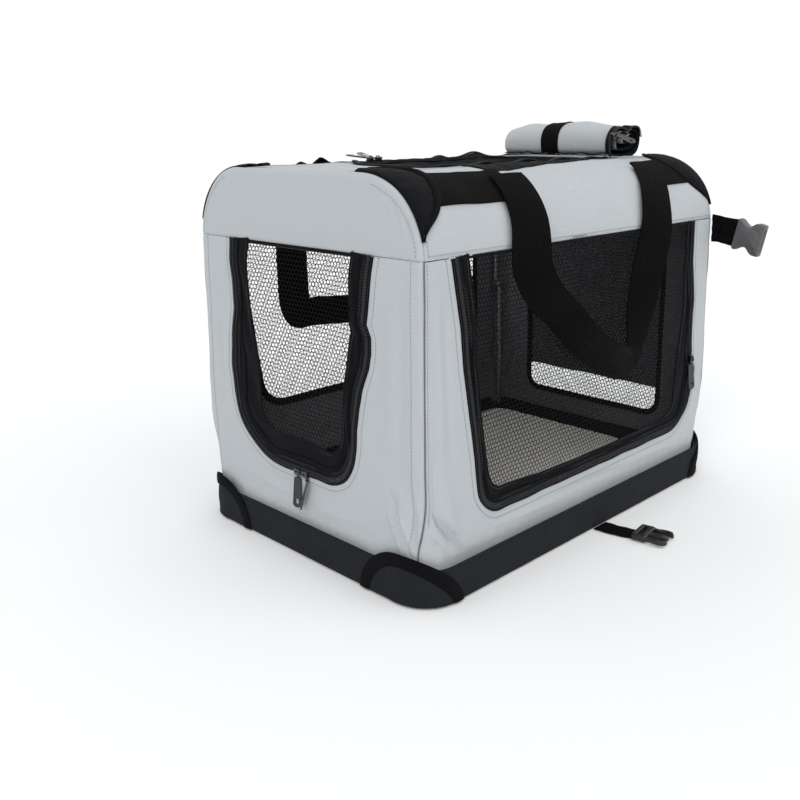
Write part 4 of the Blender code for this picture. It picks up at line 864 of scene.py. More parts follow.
def arched_part(place):
    """The arched cloth of an end wall above the seam."""
    across = np.linspace(-1, 1, 140)
    across = np.sign(across) * (1 - (1 - np.abs(across)) ** 1.25)
    shares = np.array(EDGE_SHARES)[:, None]
    u = across[None] * HALF_WIDTH * 0.9995 + 0 * shares
    beyond = np.maximum(np.abs(u) - ROOF_HALF_WIDTH, 0)
    top = SEAM_HEIGHT + np.sqrt(np.maximum(SHOULDER_RADIUS ** 2 - beyond ** 2, 1e-8))
    v = SEAM_HEIGHT + GAP + (top - SEAM_HEIGHT - GAP) * shares
    return cloth_part(place(u, v, tuck(np.minimum(top - v, v - SEAM_HEIGHT))), CLOTH_THICKNESS)


def make_end_walls():
    angles = np.radians(np.linspace(4, 74, 25))
    reach = SHOULDER_RADIUS - 0.009
    arch = np.column_stack([ROOF_HALF_WIDTH + reach * np.cos(angles), SEAM_HEIGHT + reach * np.sin(angles)])
    for word, place, hole, closed, hem, arches, size in (
        ("front", front_place, END_DOORWAY, False, DOOR_HEM, (1, -1), ARCH_STITCH),
        ("rear", rear_place, END_WINDOW, True, WINDOW_HEM, (1,), STITCH),
    ):
        parts = [wall_part(place, hole, closed, HALF_WIDTH, SEAM_HEIGHT, 300, 0.06), arched_part(place)]
        parts += seam_stitches(place, *END_STITCHES)
        parts += [stitches(place, arch * (side, 1), size=size) for side in arches]
        parts.append(stitches(place, shifted(hole, -hem, closed), closed))
        parts.append(seam_backing(place, SEAM_ALLOWANCE - HALF_WIDTH, HALF_WIDTH - SEAM_ALLOWANCE))
        wall_piece(word, parts)


# The side walls

SIDE_FOLDS = [
    (-272, 365, -262, 120, 5.0, 1.2), (-262, 350, -250, 140, 5.5, -1.4), (-280, 180, -268, 60, 5.5, -2.2),
    (-262, 140, -240, 52, 6.0, 2.0), (-240, 110, -212, 50, 5.5, -1.3), (-286, 116, -240, 50, 3.0, -4.6),
    (-278, 108, -226, 50, 3.0, 3.8), (-290, 88, -250, 50, 2.6, 2.0), (272, 350, 266, 110, 5.5, -1.2),
    (282, 160, 270, 56, 5.5, -1.8), (262, 120, 250, 52, 5.0, 1.5), (-190, 62, -40, 56, 4.5, 1.2),
    (-80, 66, 90, 60, 4.5, -1.0), (60, 64, 220, 58, 4.5, 1.1),
]
SIDE_FRONT_PULL = [(80, 8), (114, 12), (147, 12), (194, 9), (251, 7), (294, 9), (337, 6), (369, 4)]
SIDE_REAR_PULL = [(90, 0), (114, 6), (140, 13), (158, 16), (175, 7), (200, 5), (259, 6), (316, -3), (369, -3)]


def side_relief(u, v):
    """The side wall: soft upright folds beside the corners and slack along the foot."""
    sag = -0.0012 * bell(v, 0.20, 0.12) * (1 - (u / HALF_LENGTH) ** 2)
    gathers = 0.0004 * waves(u, 0.021) * bell(v, 0.046, 0.010)
    return creases(u, v, SIDE_FOLDS) + sag + gathers + 0.0006 * ripples(u, v, 0.090, 5) + foot_dip(v)


def drawn(u, v):
    """The side doorway's edges lean and wander as its zip draws them."""
    near_front = bell(u, -0.228, 0.040) * np.clip((HALF_LENGTH + u) / 0.040, 0, 1)
    near_rear = bell(u, 0.240, 0.030) * np.clip((HALF_LENGTH - u) / 0.040, 0, 1)
    return u + near_front * read_table(v, SIDE_FRONT_PULL) + near_rear * read_table(v, SIDE_REAR_PULL)


def right_place(u, v, out):
    u = drawn(u, v)
    v = v + 0.006 * bell(v, SIDE_DOOR_FOOT, 0.022)
    return on_side(u, v, out + side_relief(u, v), -1)


def left_place(u, v, out):
    return on_side(u, v, out + side_relief(u, v), 1)


def make_side_walls():
    reach = HALF_LENGTH - SEAM_ALLOWANCE
    beside = [(-reach, SIDE_DOOR_TOP_FRONT - SEAM_ALLOWANCE), (SIDE_DOOR_REAR + SEAM_ALLOWANCE, reach)]
    for word, place, hole, closed, hem, spans in (
        ("right", right_place, SIDE_DOORWAY, False, DOOR_HEM, beside),
        ("left", left_place, SIDE_WINDOW, True, WINDOW_HEM, [(-reach, reach)]),
    ):
        parts = [wall_part(place, hole, closed, HALF_LENGTH, SEAM_HEIGHT - HEM_GAP, 380, 0.05)]
        parts += seam_stitches(place, *SIDE_STITCHES)
        parts.append(stitches(place, shifted(hole, -hem, closed), closed))
        parts += [seam_backing(place, start, stop) for start, stop in spans]
        wall_piece(word, parts)


def make_corner_seams():
    """A dark cord in each upright corner seam, painted shade for the seam's groove, and its backing inside
    the cover.
    """
    heights = np.linspace(0.050, SEAM_HEIGHT, CORNER_STEPS)
    for end, end_word, side, side_word in CORNERS:
        u = np.full(CORNER_STEPS, side * HALF_WIDTH * 0.99999)
        relief = (front_relief if end < 0 else rear_relief)(u, heights)
        # The thin dark cord along the corner is painted shade where the two panels meet
        parts = [tube_part(on_end(u, heights, relief - 0.0006, end), 0.0008, 6)]
        parts.append(tube_part(on_end(u, heights, relief - BACKING_DEPTH, end), 0.0042, mark=1))
        made = piece(f"{end_word}_seam_{side_word}", parts, ["painted_seam_shade", "lining"])
        dress(made, "root", (), FOLD_FOOT)


# Nets and windows

def slack_net(place, seed, sag=0.0012, size=0.0010, lump=0.11):
    """Where a net lies that hangs a little slack behind the cloth."""
    return lambda u, v: place(u, v, -sag + size * ripples(u, v, lump, seed))


def make_windows():
    """The fixed nets of the rear and left walls, each bound by a black tape."""
    def tape(u, v, share, run):
        return 0.0009 - 0.0009 * (2 * share - 1) ** 4

    for word, hole, place, seed, width in (
        ("rear", END_WINDOW, rear_place, 21, 0.009),
        ("left", SIDE_WINDOW, left_place, 22, 0.011),
    ):
        rim = aligned(read_evenly(hole, 320, True))
        left = left_normals(rim, True)
        shares = np.linspace(0, 1, 9)
        edges = (rim + left * width, rim - left * 0.0025)
        parts = [band_part(place, *edges, shares, tape, BINDING_THICKNESS, 1, 1, True)]
        parts.append(net_part(rim + left * (width - 0.002), slack_net(place, seed), WINDOW_OPENING))
        parts.append(stitches(place, rim + left * 0.001, True))
        made = piece(f"{word}_net", parts, ["net", "black", "black_thread"])
        dress(made, "root", [f"{word}_window"], FOLD_FOOT)


def make_rear_flap():
    """The privacy flap, sewn along its top and hanging over the rear window."""
    top = WINDOW_TOP + 0.006
    u, v = np.meshgrid(np.linspace(-1, 1, 90), np.linspace(0, 1, 70), indexing="ij")
    corner = 0.016 * np.clip((np.abs(u) - 0.86) / 0.14, 0, 1) ** 2.2
    x = u * FLAP_HALF_WIDTH
    z = top + (FLAP_FOOT + corner - top) * v
    wave = 0.0014 * np.sin(x * 2 * math.pi / FLAP_WAVE + 0.7)
    out = FLAP_STANDOFF + wave * v + 0.0004 * ripples(x, z, 0.05, 9)
    made = piece("rear_curtain", [cloth_part(rear_place(x, z, out), LINED_THICKNESS)], ["grey", "lining"])
    dress(made, "root", ["rear_flap"], FOLD_FOOT)


# Doors and their zips: each border's width in millimetres by the hundredth of the way round

END_BORDER = [(0, 29), (6, 27), (11, 23), (15, 31), (19, 30), (24, 26), (30, 25), (38, 31), (45, 36),
              (55, 36), (62, 38), (71, 38), (78, 40), (86, 30), (94, 28), (100, 32)]
SIDE_BORDER = [(0, 19), (5, 18), (12, 16), (18, 15), (24, 18), (28.5, 28), (33, 26), (40, 20), (55, 19),
               (66, 22), (72, 40), (78, 38), (83, 27), (88, 22), (94, 18), (100, 14)]
HATCH_BORDER = [(0, 16), (100, 16)]

# The welts and dips across a door's border, by the share of its width
BORDER_WELTS = [(0.36, 0.045, 0.0010), (0.93, 0.05, 0.0008), (0.44, 0.03, -0.0013), (0.27, 0.03, -0.0009)]


def door_border(path, widths, seed):
    """The net door's outline and the inner edge of its cloth border, which is a little wavy."""
    rim = shifted(path, ZIP_GAP, count=DOOR_STEPS)
    run = np.linspace(0, 1, DOOR_STEPS)
    width = read_table(run / 10, widths) + 0.0010 * ripples(run, 0 * run, 0.16, seed)
    return rim, rim + steady(left_normals(rim), 8) * steady(width[:, None], 6)


def border_height(u, v, share, run):
    """Across a door's border: flat zip tape, two welts and the hem of the net."""
    slack = 0.0016 * np.sin(run * 2 * math.pi * 7 + 5 * share) * np.sin(math.pi * share) ** 2
    slack = slack * np.clip(run / 0.07, 0, 1) * np.clip((1 - run) / 0.07, 0, 1)
    return bumps(share, BORDER_WELTS) + slack + 0.0002


def sewn_hem(u, v, share, run):
    return 0.0008 - 0.0006 * (2 * share - 1) ** 4


def door_piece(name, path, widths, place, seed, net_place):
    rim, inner = door_border(path, widths, seed)
    shares = np.concatenate([np.linspace(0, 0.2, 5), np.linspace(0.23, 0.56, 18), np.linspace(0.6, 1, 12)])
    parts = [band_part(place, rim, inner, shares, border_height, LINED_THICKNESS, 1, 1)]
    parts.append(net_part(np.vstack([inner - left_normals(inner) * 0.003, inner[[-1, 0]]]), net_place))
    sewn = np.linspace(rim[0], rim[-1], 140)
    lower = sewn + unit(rim.mean(axis=0) - sewn.mean(axis=0)) * 0.0030
    parts.append(band_part(place, sewn, lower, np.linspace(0, 1, 7), sewn_hem, BINDING_THICKNESS, 1, 1))
    parts.append(teeth(place, shifted(path, ZIP_GAP + 0.0012), 2))
    for offset in (0.0065, 0.0085):
        parts.append(stitches(place, shifted(path, offset), False, FINE_PITCH, 3, FINE_STITCH))
    parts.append(stitches(place, inner - left_normals(inner) * 0.004, mark=3))
    return piece(name, parts, ["net", "black", "teeth", "black_thread"])


def raised(place, lift):
    """The same cloth's places, lifted off it."""
    return lambda u, v, out: place(u, v, out + lift)


def zip_piece(name, path, place, extra=()):
    """The outer tape of a zip with its half of the teeth."""
    def height(u, v, share, run):
        return 0.0011 + 0.0004 * waves(run, 1 / 17) * share - 0.0008 * share ** 6

    inner = shifted(path, -GAP, count=DOOR_STEPS)
    outer = shifted(path, -TAPE_WIDTH, count=DOOR_STEPS)
    parts = [band_part(place, inner, outer, np.linspace(0, 1, 9), height, TAPE_THICKNESS)]
    parts.append(teeth(raised(place, 0.0011), shifted(path, -0.0014), 1, 1))
    parts.append(stitches(raised(place, 0.0012), shifted(path, -0.0046), False, FINE_PITCH, 2, FINE_STITCH))
    return piece(name, [*parts, *extra], ["tape", "teeth", "black_thread"])


def make_doors():
    for word, names, doorway, widths, place, seeds in (
        ("front", ("end_door", "end_zip"), END_DOORWAY, END_BORDER, front_place, (11, 31)),
        ("side", ("side_net_door", "side_zip_tape"), SIDE_DOORWAY, SIDE_BORDER, right_place, (12, 33)),
    ):
        door = door_piece(names[0], doorway, widths, place, seeds[0], slack_net(place, seeds[1]))
        dress(door, f"{word}_door", [f"{word}_door"], FOLD_FOOT)
        tape = zip_piece(names[1], doorway, place)
        dress(tape, "root", [f"{word}_zip"], FOLD_FOOT)


# The hood: rounded side panels, roof, hatch, patches and bands

def hood_relief(x, angle):
    """The cloth over the hoops' bends hangs in slightly between them, in soft upright folds."""
    rise = np.sin(np.radians(np.clip(angle, 0, 90)) * 2)
    sag = -0.0030 * (1 - (x / HALF_LENGTH) ** 2) * rise
    soft = 0.0010 * np.sin(x * 2 * math.pi / 0.115 + 0.6 + angle * 0.012) * rise
    return sag + soft + 0.0007 * ripples(x, angle * 0.0015, 0.075, 15) * (0.3 + rise)


def hood_stitches(place, path):
    """Stitches round the shoulder, whose path is in metres along it and degrees up."""
    u, angle = np.array(path).T
    base = place(u, angle, 0.0)
    count = max(int(length_of(base) / STITCH_PITCH), 2)
    spots = read_evenly(base, count)
    out = unit(read_evenly(place(u, angle, 0.0006), count) - spots)
    return bars(spots, out, STITCH_LIFT, STITCH, 2)


def hood_place(side):
    return lambda u, v, out: on_hood(u, v, out + hood_relief(u, v), side)


def make_hood():
    shares = np.concatenate([[0, 0.006, 0.018], np.linspace(0.035, 0.965, 110), [0.982, 0.994, 1]])
    lift = np.concatenate([[0.003, 0.012, 0.035], np.linspace(0.07, 0.93, 30), [0.965, 0.988, 1]])
    x, angle = np.meshgrid((2 * shares - 1) * HALF_LENGTH, lift * 90, indexing="ij")
    edge = np.minimum(HALF_LENGTH - np.abs(x), np.radians(np.minimum(angle, 90 - angle)) * SHOULDER_RADIUS)
    for side, word in SIDES:
        place = hood_place(side)
        parts = [cloth_part(place(x, angle, tuck(edge)), CLOTH_THICKNESS)]
        row = np.linspace(-HOOD_STITCH_REACH, HOOD_STITCH_REACH, 130)
        for rise in HOOD_STITCH_ANGLES:
            parts.append(stitches(place, [(along, rise) for along in row]))
        for end in (-1, 1):
            rise = np.linspace(4, 88, 40)
            parts.append(hood_stitches(place, [(end * (HALF_LENGTH - 0.009), up) for up in rise]))
        made = piece(f"{word}_hood", parts, CLOTH_FINISHES)
        dress(made, "roof", [f"{word}_shoulder"], ROOF_HEIGHT)


def roof_place(u, v, out):
    sag = -0.0028 * (1 - (u / HALF_LENGTH) ** 2) * (1 - (v / ROOF_HALF_WIDTH) ** 2)
    return stacked(u, v, ROOF_HEIGHT + out + sag + 0.0006 * ripples(u, v, 0.08, 17))


# Where and how far the hatch's zip rides up along the far side, and the far front band bulges
HATCH_LIFTS = [(0.112, 0.024, 0.0075), (0.038, 0.014, 0.0050), (-0.137, 0.012, 0.0060)]
BAND_BULGES = [(-0.138, 0.013, 1.0), (-0.172, 0.010, 0.55)]


def hatch_place(u, v, out):
    """The hatch and its zip ride up in slack waves along the far side of the roof."""
    far = np.clip((v - 0.055) / 0.035, 0, 1) ** 2
    near = np.clip((-v - 0.055) / 0.035, 0, 1) ** 2
    slack = 0.0022 * waves(u + 0.02, 0.074) * np.clip((HATCH_REAR - u) / 0.05, 0, 1)
    return roof_place(u, v, out + bumps(u, HATCH_LIFTS) * far + (slack + 0.0010) * near)


def net_gussets():
    """The black strips that carry the hatch's zip over the edge of the roof."""
    x = np.linspace(GUSSET_FRONT, GUSSET_REAR, 90)[:, None]
    low = 66 + 23 * np.clip((x - GUSSET_FRONT) / (GUSSET_REAR - GUSSET_FRONT), 0, 1) ** 0.8
    low = low + 22 * np.clip((-0.118 - x) / 0.018, 0, 1) ** 2
    angle = low + (95.0 - low) * np.linspace(0, 1, 12)[None]
    out = 0.0012 + 0.0004 * np.sin(x * 230) + hood_relief(x, np.minimum(angle, 90))
    return [cloth_part(on_hood(x + 0 * angle, angle, out, side), THIN_THICKNESS, 0, 0) for side in (-1, 1)]


def make_roof():
    edge = HALF_LENGTH - SEAM_ALLOWANCE

    def height(u, v, share, run):
        return tuck(np.minimum(edge - np.abs(u), ROOF_HALF_WIDTH - np.abs(v))) + tuck(share * 0.03, 0.0005)

    outer = [(edge, 0.0), (edge, ROOF_HALF_WIDTH), (-edge, ROOF_HALF_WIDTH)]
    outer += [(-edge, -ROOF_HALF_WIDTH), (edge, -ROOF_HALF_WIDTH), (edge, 0.0)]
    hole = [(HATCH_REAR, 0.0), *HATCHWAY, (HATCH_REAR, 0.0)]
    inner, outer = (read_evenly(path, 321)[:-1] for path in (hole, outer))
    shares = EDGE_SHARES[::2] + [1]
    parts = [band_part(roof_place, inner, outer, shares, height, CLOTH_THICKNESS, 0, 1, True)]
    reach, across = ROOF_STITCHES
    parts.append(stitches(roof_place, [(-reach, -0.105), (-reach, 0.105)]))
    for side in (-1, 1):
        parts.append(stitches(roof_place, [(-reach, side * across), (reach, side * across)]))
    dress(piece("roof_cloth", parts, CLOTH_FINISHES), "roof", ["roof_panel"])

    tape = zip_piece("roof_zip_tape", HATCHWAY, hatch_place, net_gussets())
    dress(tape, "roof", ["roof_zip"])
    net = slack_net(hatch_place, 35, size=0.0008, lump=0.1)
    door = door_piece("roof_net", HATCHWAY, HATCH_BORDER, hatch_place, 14, net)
    dress(door, "roof_hatch", ["roof_hatch"])


TOP_PATCH_ANGLES = [13, 17, 22, 30, 40, 50, 60, 70, 80, 90, 99]
TOP_PATCH_DEPTHS = [0.001, 0.006, 0.016, 0.033, 0.046, 0.054, 0.060, 0.062, 0.059, 0.047, 0.024]


def make_top_patches():
    """The half-moon patches over the hoops' bends: a padded panel with a broad ribbed rim."""
    angle = np.linspace(TOP_PATCH_ANGLES[0], TOP_PATCH_ANGLES[-1], 90)
    depth = steady(np.interp(angle, TOP_PATCH_ANGLES, TOP_PATCH_DEPTHS)[:, None], 4)[:, 0]
    rim = np.minimum(PATCH_RIM, depth * 0.6)
    t = np.linspace(0, 1, 16)[:, None]
    rise = np.clip((angle - 12) / 40, 0, 1)
    for end, end_word, side, side_word in CORNERS:
        x = end * (HALF_LENGTH - PATCH_SETBACK - (depth - rim) * t)
        puff = 0.0012 + 0.0026 * np.sin(math.pi * t) ** 0.7 * rise
        puff = puff + 0.0003 * ripples(x, angle * 0.0015, 0.02, 40)
        parts = [cloth_part(on_hood(x, angle + 0 * x, puff, side), BINDING_THICKNESS, 0, 0)]
        x = end * (HALF_LENGTH - PATCH_SETBACK - (depth - rim) - rim * t)
        crown = 0.0014 + (0.0016 + 0.0012 * rise) * crowned(t)
        uv = stacked(t * PATCH_RIM, np.radians(angle) * SHOULDER_RADIUS)
        parts.append(cloth_part(on_hood(x, angle + 0 * x, crown, side), BINDING_THICKNESS, 1, 1, uv=uv))
        edge = on_hood(np.full(90, end * (HALF_LENGTH - 0.0010)), angle, 0.0012, side)
        parts.append(tube_part(edge, 0.0016, mark=1))
        made = piece(f"{end_word}_bend_{side_word}", parts, ["black", "binding"])
        dress(made, "roof", [f"top_patch_{end_word}_{side_word}"], ROOF_HEIGHT)


def make_bands():
    """The handles' webbing sewn flat along the shoulders to the patches."""
    across = np.linspace(0, 1, 29)
    ribs = web_ribs(across, HANDLE_RIBS, 0.00025)
    for end, end_word, side, side_word in CORNERS:
        start, stop = (-BAND_REACH, BAND_FRONT_END) if end < 0 else (BAND_REAR_START, BAND_REACH)
        x, angle = np.meshgrid(np.linspace(start, stop, 60), 37 + 33.5 * across, indexing="ij")
        out = 0.0026 + ribs + hood_relief(x, angle) + 0.0003 * ripples(x, 0 * x, 0.03, 44)
        if side > 0 and end < 0:
            out = out + (0.006 + 0.005 * across) * bumps(x, BAND_BULGES)
        uv = stacked(across * HANDLE_WIDTH, x)
        parts = [cloth_part(on_hood(x, angle, out, side), WEB_THICKNESS, 0, 0, uv=uv)]
        made = piece(f"{end_word}_webbing_{side_word}", parts, ["webbing"])
        dress(made, "roof", [f"{end_word}_band_{side_word}"], ROOF_HEIGHT)


# Handles: each route in x and z, in millimetres

NEAR_HANDLE = [(-121, 442.5), (-127, 424), (-134, 400), (-142, 371), (-140, 345), (-118, 315), (-80, 286),
               (-38, 251), (18, 220), (58, 206), (83, 211), (94, 237), (93, 274), (98, 316), (113, 358),
               (130, 396), (152, 423), (171, 441)]
FAR_HANDLE = [(-146, 442.5), (-144, 410), (-141, 360), (-140, 300), (-137, 258), (-126, 241), (-100, 241),
              (-45, 236), (20, 234), (75, 244), (105, 275), (114, 330), (116, 385), (124, 441)]
HANDLE_TURN_STOPS = [0.0, 0.06, 0.16, 0.40, 0.58, 0.68, 0.80, 0.93, 1.0]
HANDLE_TURNS = [-4, -22, -40, -36, -12, 16, 34, 14, 3]


def smooth_curve(route, steps):
    """A smooth curve through all of the route's points, in metres."""
    route = np.array(route) / 1000
    ends = [route[0] * 2 - route[1], *route, route[-1] * 2 - route[-2]]
    points = []
    for i in range(1, len(ends) - 2):
        a, b, c, d = ends[i - 1:i + 3]
        for t in np.arange(steps) / steps:
            bend = (2 * a - 5 * b + 4 * c - d) * t * t + (3 * b - a - 3 * c + d) * t ** 3
            points.append(0.5 * (2 * b + (c - a) * t + bend))
    return np.array([*points, ends[-2]])


def make_handles():
    """Each handle hangs in a loop from the shoulder; its strap turns to face along the wall."""
    across = np.linspace(-1, 1, 29)
    ribs = web_ribs((across + 1) / 2, HANDLE_RIBS, 0.00028)
    run = np.linspace(0, 1, HANDLE_STEPS)
    for side, word, table, turning in ((-1, "right", NEAR_HANDLE, 1.0), (1, "left", FAR_HANDLE, -0.45)):
        x, z = read_evenly(smooth_curve(table, 22), HANDLE_STEPS).T
        rise = np.clip((z - SEAM_HEIGHT) / SHOULDER_RADIUS, 0, 1)
        level = np.sqrt(1 - rise ** 2)
        surface = np.where(z > SEAM_HEIGHT, ROOF_HALF_WIDTH + SHOULDER_RADIUS * level, HALF_WIDTH)
        near_top = np.clip((z - SEAM_HEIGHT) / (HANDLE_TOP - SEAM_HEIGHT), 0, 1)
        off = HANDLE_STANDOFF * (1 - near_top) + 0.0008 * near_top + WEB_THICKNESS
        twist = np.radians(np.interp(run, HANDLE_TURN_STOPS, HANDLE_TURNS))
        twist = steady(twist[:, None], 14) * turning
        middle = stacked(x, side * (surface + off * level), z + off * rise)
        normal = stacked(0 * x, side * level, rise)
        along = along_path(middle)
        sideways = unit(np.cross(along, normal) * -side)
        facing = np.cross(sideways, along) * -side
        turned = sideways * np.cos(twist) + facing * np.sin(twist)
        lifted = facing * np.cos(twist) - sideways * np.sin(twist)
        middle = middle + normal * np.abs(np.sin(twist)) * HANDLE_WIDTH / 2
        wander = (np.sin(run * 41 + 2 * side) * np.sin(math.pi * run))[:, None]
        curl = ribs + 0.0010 * (1 - across ** 2) + 0.0010 * wander * across
        wide = (across * HANDLE_WIDTH / 2)[None, :, None]
        grid = middle[:, None] + turned[:, None] * wide + lifted[:, None] * curl[..., None]
        uv = stacked(across * HANDLE_WIDTH / 2, (run * HANDLE_LENGTH)[:, None])
        parts = [cloth_part(grid, WEB_THICKNESS, 0, 0, toward=normal[:, None] + 0 * grid, uv=uv)]
        made = piece(f"{word}_carry_handle", parts, ["webbing"])
        dress(made, f"{word}_handle", [f"{word}_handle"], ROOF_HEIGHT)


# The rolled roof flap and its strap: its reach in millimetres by the angle, along it and at its near end

ROLL_HEIGHT = ROOF_HEIGHT + GAP + ROLL_RADIUS + 0.0004
ROLL_CENTRE = np.array((ROLL_MIDDLE, 0, ROLL_HEIGHT))
ROLL_ANGLES = [-90, -60, -30, 0, 30, 60, 90, 120, 150, 180, 205, 222, 245, 270]
ROLL_REACH = [23.9, 25.5, 27.5, 28.0, 26.8, 25.0, 24.0, 25.0, 29.2, 33.0, 36.2, 33.8, 26.6, 23.9]
ROLL_END_REACH = [23.9, 27.0, 30.5, 31.2, 30.0, 20.5, 12.5, 13.5, 30.0, 47.0, 49.0, 35.0, 26.6, 23.9]


def roll_outline(angle, y):
    """The bundle's outer reach at an angle from its middle: slack at the front, squashed at its near end."""
    degrees = (np.degrees(angle) + 90) % 360 - 90
    plain = np.interp(degrees, ROLL_ANGLES, ROLL_REACH) / 1000
    squashed = np.interp(degrees, ROLL_ANGLES, ROLL_END_REACH) / 1000
    ahead = np.clip(-np.cos(angle), 0, 1)
    near = np.clip((-y - 0.052) / 0.052, 0, 1) ** 1.5 * (1 - ahead)
    near = near + np.clip((-y - 0.088) / 0.014, 0, 1) * ahead
    rise = np.clip(np.sin(angle), 0, 1)
    reach = plain + (squashed - plain) * near - 0.0105 * rise * np.clip((y - 0.050) / 0.038, 0, 1) ** 2
    pinch = bell(y, ROLL_STRAP, 0.018) * np.clip(np.sin(angle) + 0.4, 0, 1)
    puff = 0.0011 * waves(y + 0.05, 0.11) * rise
    return reach - 0.0016 * pinch + puff + 0.0007 * ripples(np.cos(angle) * 0.03, y, 0.055, 50) * (0.3 + rise)


def on_roll(reach, angle, y, lowest):
    """A point of the roll by its reach from the middle, kept off the roof."""
    z = np.maximum(ROLL_HEIGHT + reach * np.sin(angle), ROOF_HEIGHT + lowest)
    return stacked(ROLL_MIDDLE + reach * np.cos(angle), y, z)


def roll_cloth():
    """The flap wound in a loose spiral, after its tail on the roof."""
    share = np.linspace(0, 1, 250)[:, None]
    angle = -math.pi / 2 + 2 * math.pi * ROLL_TURNS * share
    y = np.linspace(-ROLL_HALF_WIDTH, ROLL_FAR_END, 76)
    under = np.maximum(ROLL_TURNS * share - ROLL_OUTER_TURN, 0) / (ROLL_TURNS - ROLL_OUTER_TURN + 0.32)
    spiral = on_roll(roll_outline(angle, y[None]) * (1 - under) - 0.0006, angle, y, 0.0020)
    flare = np.abs(0.0022 * np.sin(y * 2 * math.pi / 0.062 + 0.5) + 0.0011 * waves(y, 0.027))
    back = np.linspace(1, 0, 24)[:-1, None]
    tail_x = ROLL_MIDDLE - (0.0330 + 0.0190 * np.clip((-y - 0.090) / 0.010, 0, 1)) * back
    tail = stacked(tail_x, y, ROOF_HEIGHT + 0.0022 + (0.0014 + 0.9 * flare) * back)
    return np.concatenate([tail, spiral]), np.concatenate([tail * (0, 0, -1.0), spiral - ROLL_CENTRE])


def roll_zip():
    """The half of the zip that is sewn to the flap shows at its near end, with a slider and a pull."""
    turn = np.radians(np.linspace(206, 8, 90))[:, None]
    y = np.linspace(-0.0006, 0.0115, 7)[None] - ROLL_HALF_WIDTH
    tape = on_roll(roll_outline(turn, y) + 0.0008, turn, y, 0.002)
    parts = [cloth_part(tape, BINDING_THICKNESS, 2, 2, toward=tape - ROLL_CENTRE)]
    dots = read_evenly(tape[:, 0] - (0, 0.0004, 0.0006), 48)
    steps = along_path(dots)
    side = np.array((0, 1.0, 0))
    parts.append(boxes_part(dots, steps * 0.0006, side * 0.0013, np.cross(steps, side) * 0.0012, 3))
    front = math.radians(170)
    near = float(roll_outline(front, -ROLL_HALF_WIDTH))
    spot = ROLL_CENTRE + near * np.array((math.cos(front), 0, math.sin(front)))
    spot = spot + (0.002, -ROLL_HALF_WIDTH - 0.0012, -0.0015)
    axes = ((0.94, 0, 0.34), (0.34, 0, -0.94), (0, -1, 0))
    parts.append(slab_part(SLIDER_OUTLINE, SLIDER_PROFILE, spot, *axes, 4))
    eye = spot + (0.003, -0.0040, 0.001)
    return parts + pull_parts(eye, (0.30, -0.86, -0.40), (0.80, 0.05, 0.60), *ROLL_PULL_SIZE, 4)


def make_roll():
    """The roof's flap, rolled up, with its half of the zip at its near end."""
    grid, toward = roll_cloth()
    parts = [cloth_part(grid, 0.0013, toward=toward), *roll_zip()]
    made = piece("rolled_flap", parts, ["grey", "black", "tape", "teeth", "zip_metal"])
    dress(made, "roof", ["roof_roll"])


def make_roll_strap():
    """The strap that holds the rolled flap."""
    turn = np.radians(np.linspace(-60, 219, 110))[:, None]
    across = np.linspace(0, 1, 19)[None]
    y = ROLL_STRAP + (across - 0.5) * ROLL_STRAP_WIDTH + 0.0010 * np.sin(turn * 3)
    reach = roll_outline(turn, y) + 0.0011 + web_ribs(across, 8, 0.00025)
    grid = on_roll(reach, turn, y, 0.0032)
    uv = stacked(0.023 * across, turn * 0.025)
    part = cloth_part(grid, 0.0012, 0, 0, toward=grid - ROLL_CENTRE, uv=uv)
    dress(piece("roll_holder", [part], ["webbing"]), "roof", ["roll_strap"])


# The base

def ring_points(half_length, half_width, radius, count):
    edge = (half_length, half_width, radius)
    return read_evenly(tapered((-half_length, half_width, radius), edge, 14), count, True)


# The tray's inset and height in metres, up its outside and down its inside
TRAY_PROFILE = [
    (0.006, 0.0004), (0.0026, 0.0006), (0.0006, 0.0028),
    *[(0.0, z) for z in np.linspace(0.005, TRAY_HEIGHT - 0.003, 16)],
    (0.0004, TRAY_HEIGHT - 0.0012), (0.0016, TRAY_HEIGHT), (0.0040, TRAY_HEIGHT),
    (0.0052, TRAY_HEIGHT - 0.001), (0.0054, 0.030), (0.0054, 0.005),
]


def make_base():
    """The stiff tray in its black cloth cover, with a piped upper edge."""
    base = ring_points(TRAY_HALF_LENGTH, TRAY_HALF_WIDTH, TRAY_CORNER, 480)
    left = left_normals(base, True)
    x, y = base.T
    rings = []
    for inset, z in TRAY_PROFILE:
        bulge = 0.0007 * math.sin(math.pi * min(z / TRAY_HEIGHT, 1)) * ripples(x + y, 2 * z, 0.07, 61)
        wrinkle = 0.0004 * ripples(x - y, 3 * z, 0.03, 62)
        out = bulge + wrinkle - 0.0003 if inset < 0.001 else 0 * x
        ring = base + left * (inset - out)[:, None]
        rings.append(stacked(ring[:, 0], ring[:, 1], z))
    parts = [rings_part(rings, [(0, 0, 0.0004), (0, 0, 0.0048)], flip=True)]
    rim = base + left * 0.0012
    piping = stacked(rim[:, 0], rim[:, 1], TRAY_HEIGHT - 0.0004)
    parts.append(tube_part(piping, 0.0014, closed=True))
    dress(piece("tray_cover", parts, ["base_cloth"]), "root", ["base_tray"])


def tray_side(distance, out, z):
    """A point on the tray's side at +X +Y, a distance along it from the patch's end on +X."""
    bend = TRAY_CORNER * math.pi / 2
    past = distance - PATCH_END_REACH
    angle = np.clip(past / TRAY_CORNER, 0, math.pi / 2)
    x = TRAY_HALF_LENGTH - TRAY_CORNER + (TRAY_CORNER + out) * np.cos(angle) - np.maximum(past - bend, 0)
    y = TRAY_HALF_WIDTH - TRAY_CORNER + (TRAY_CORNER + out) * np.sin(angle) + np.minimum(past, 0)
    return stacked(x, y, z)


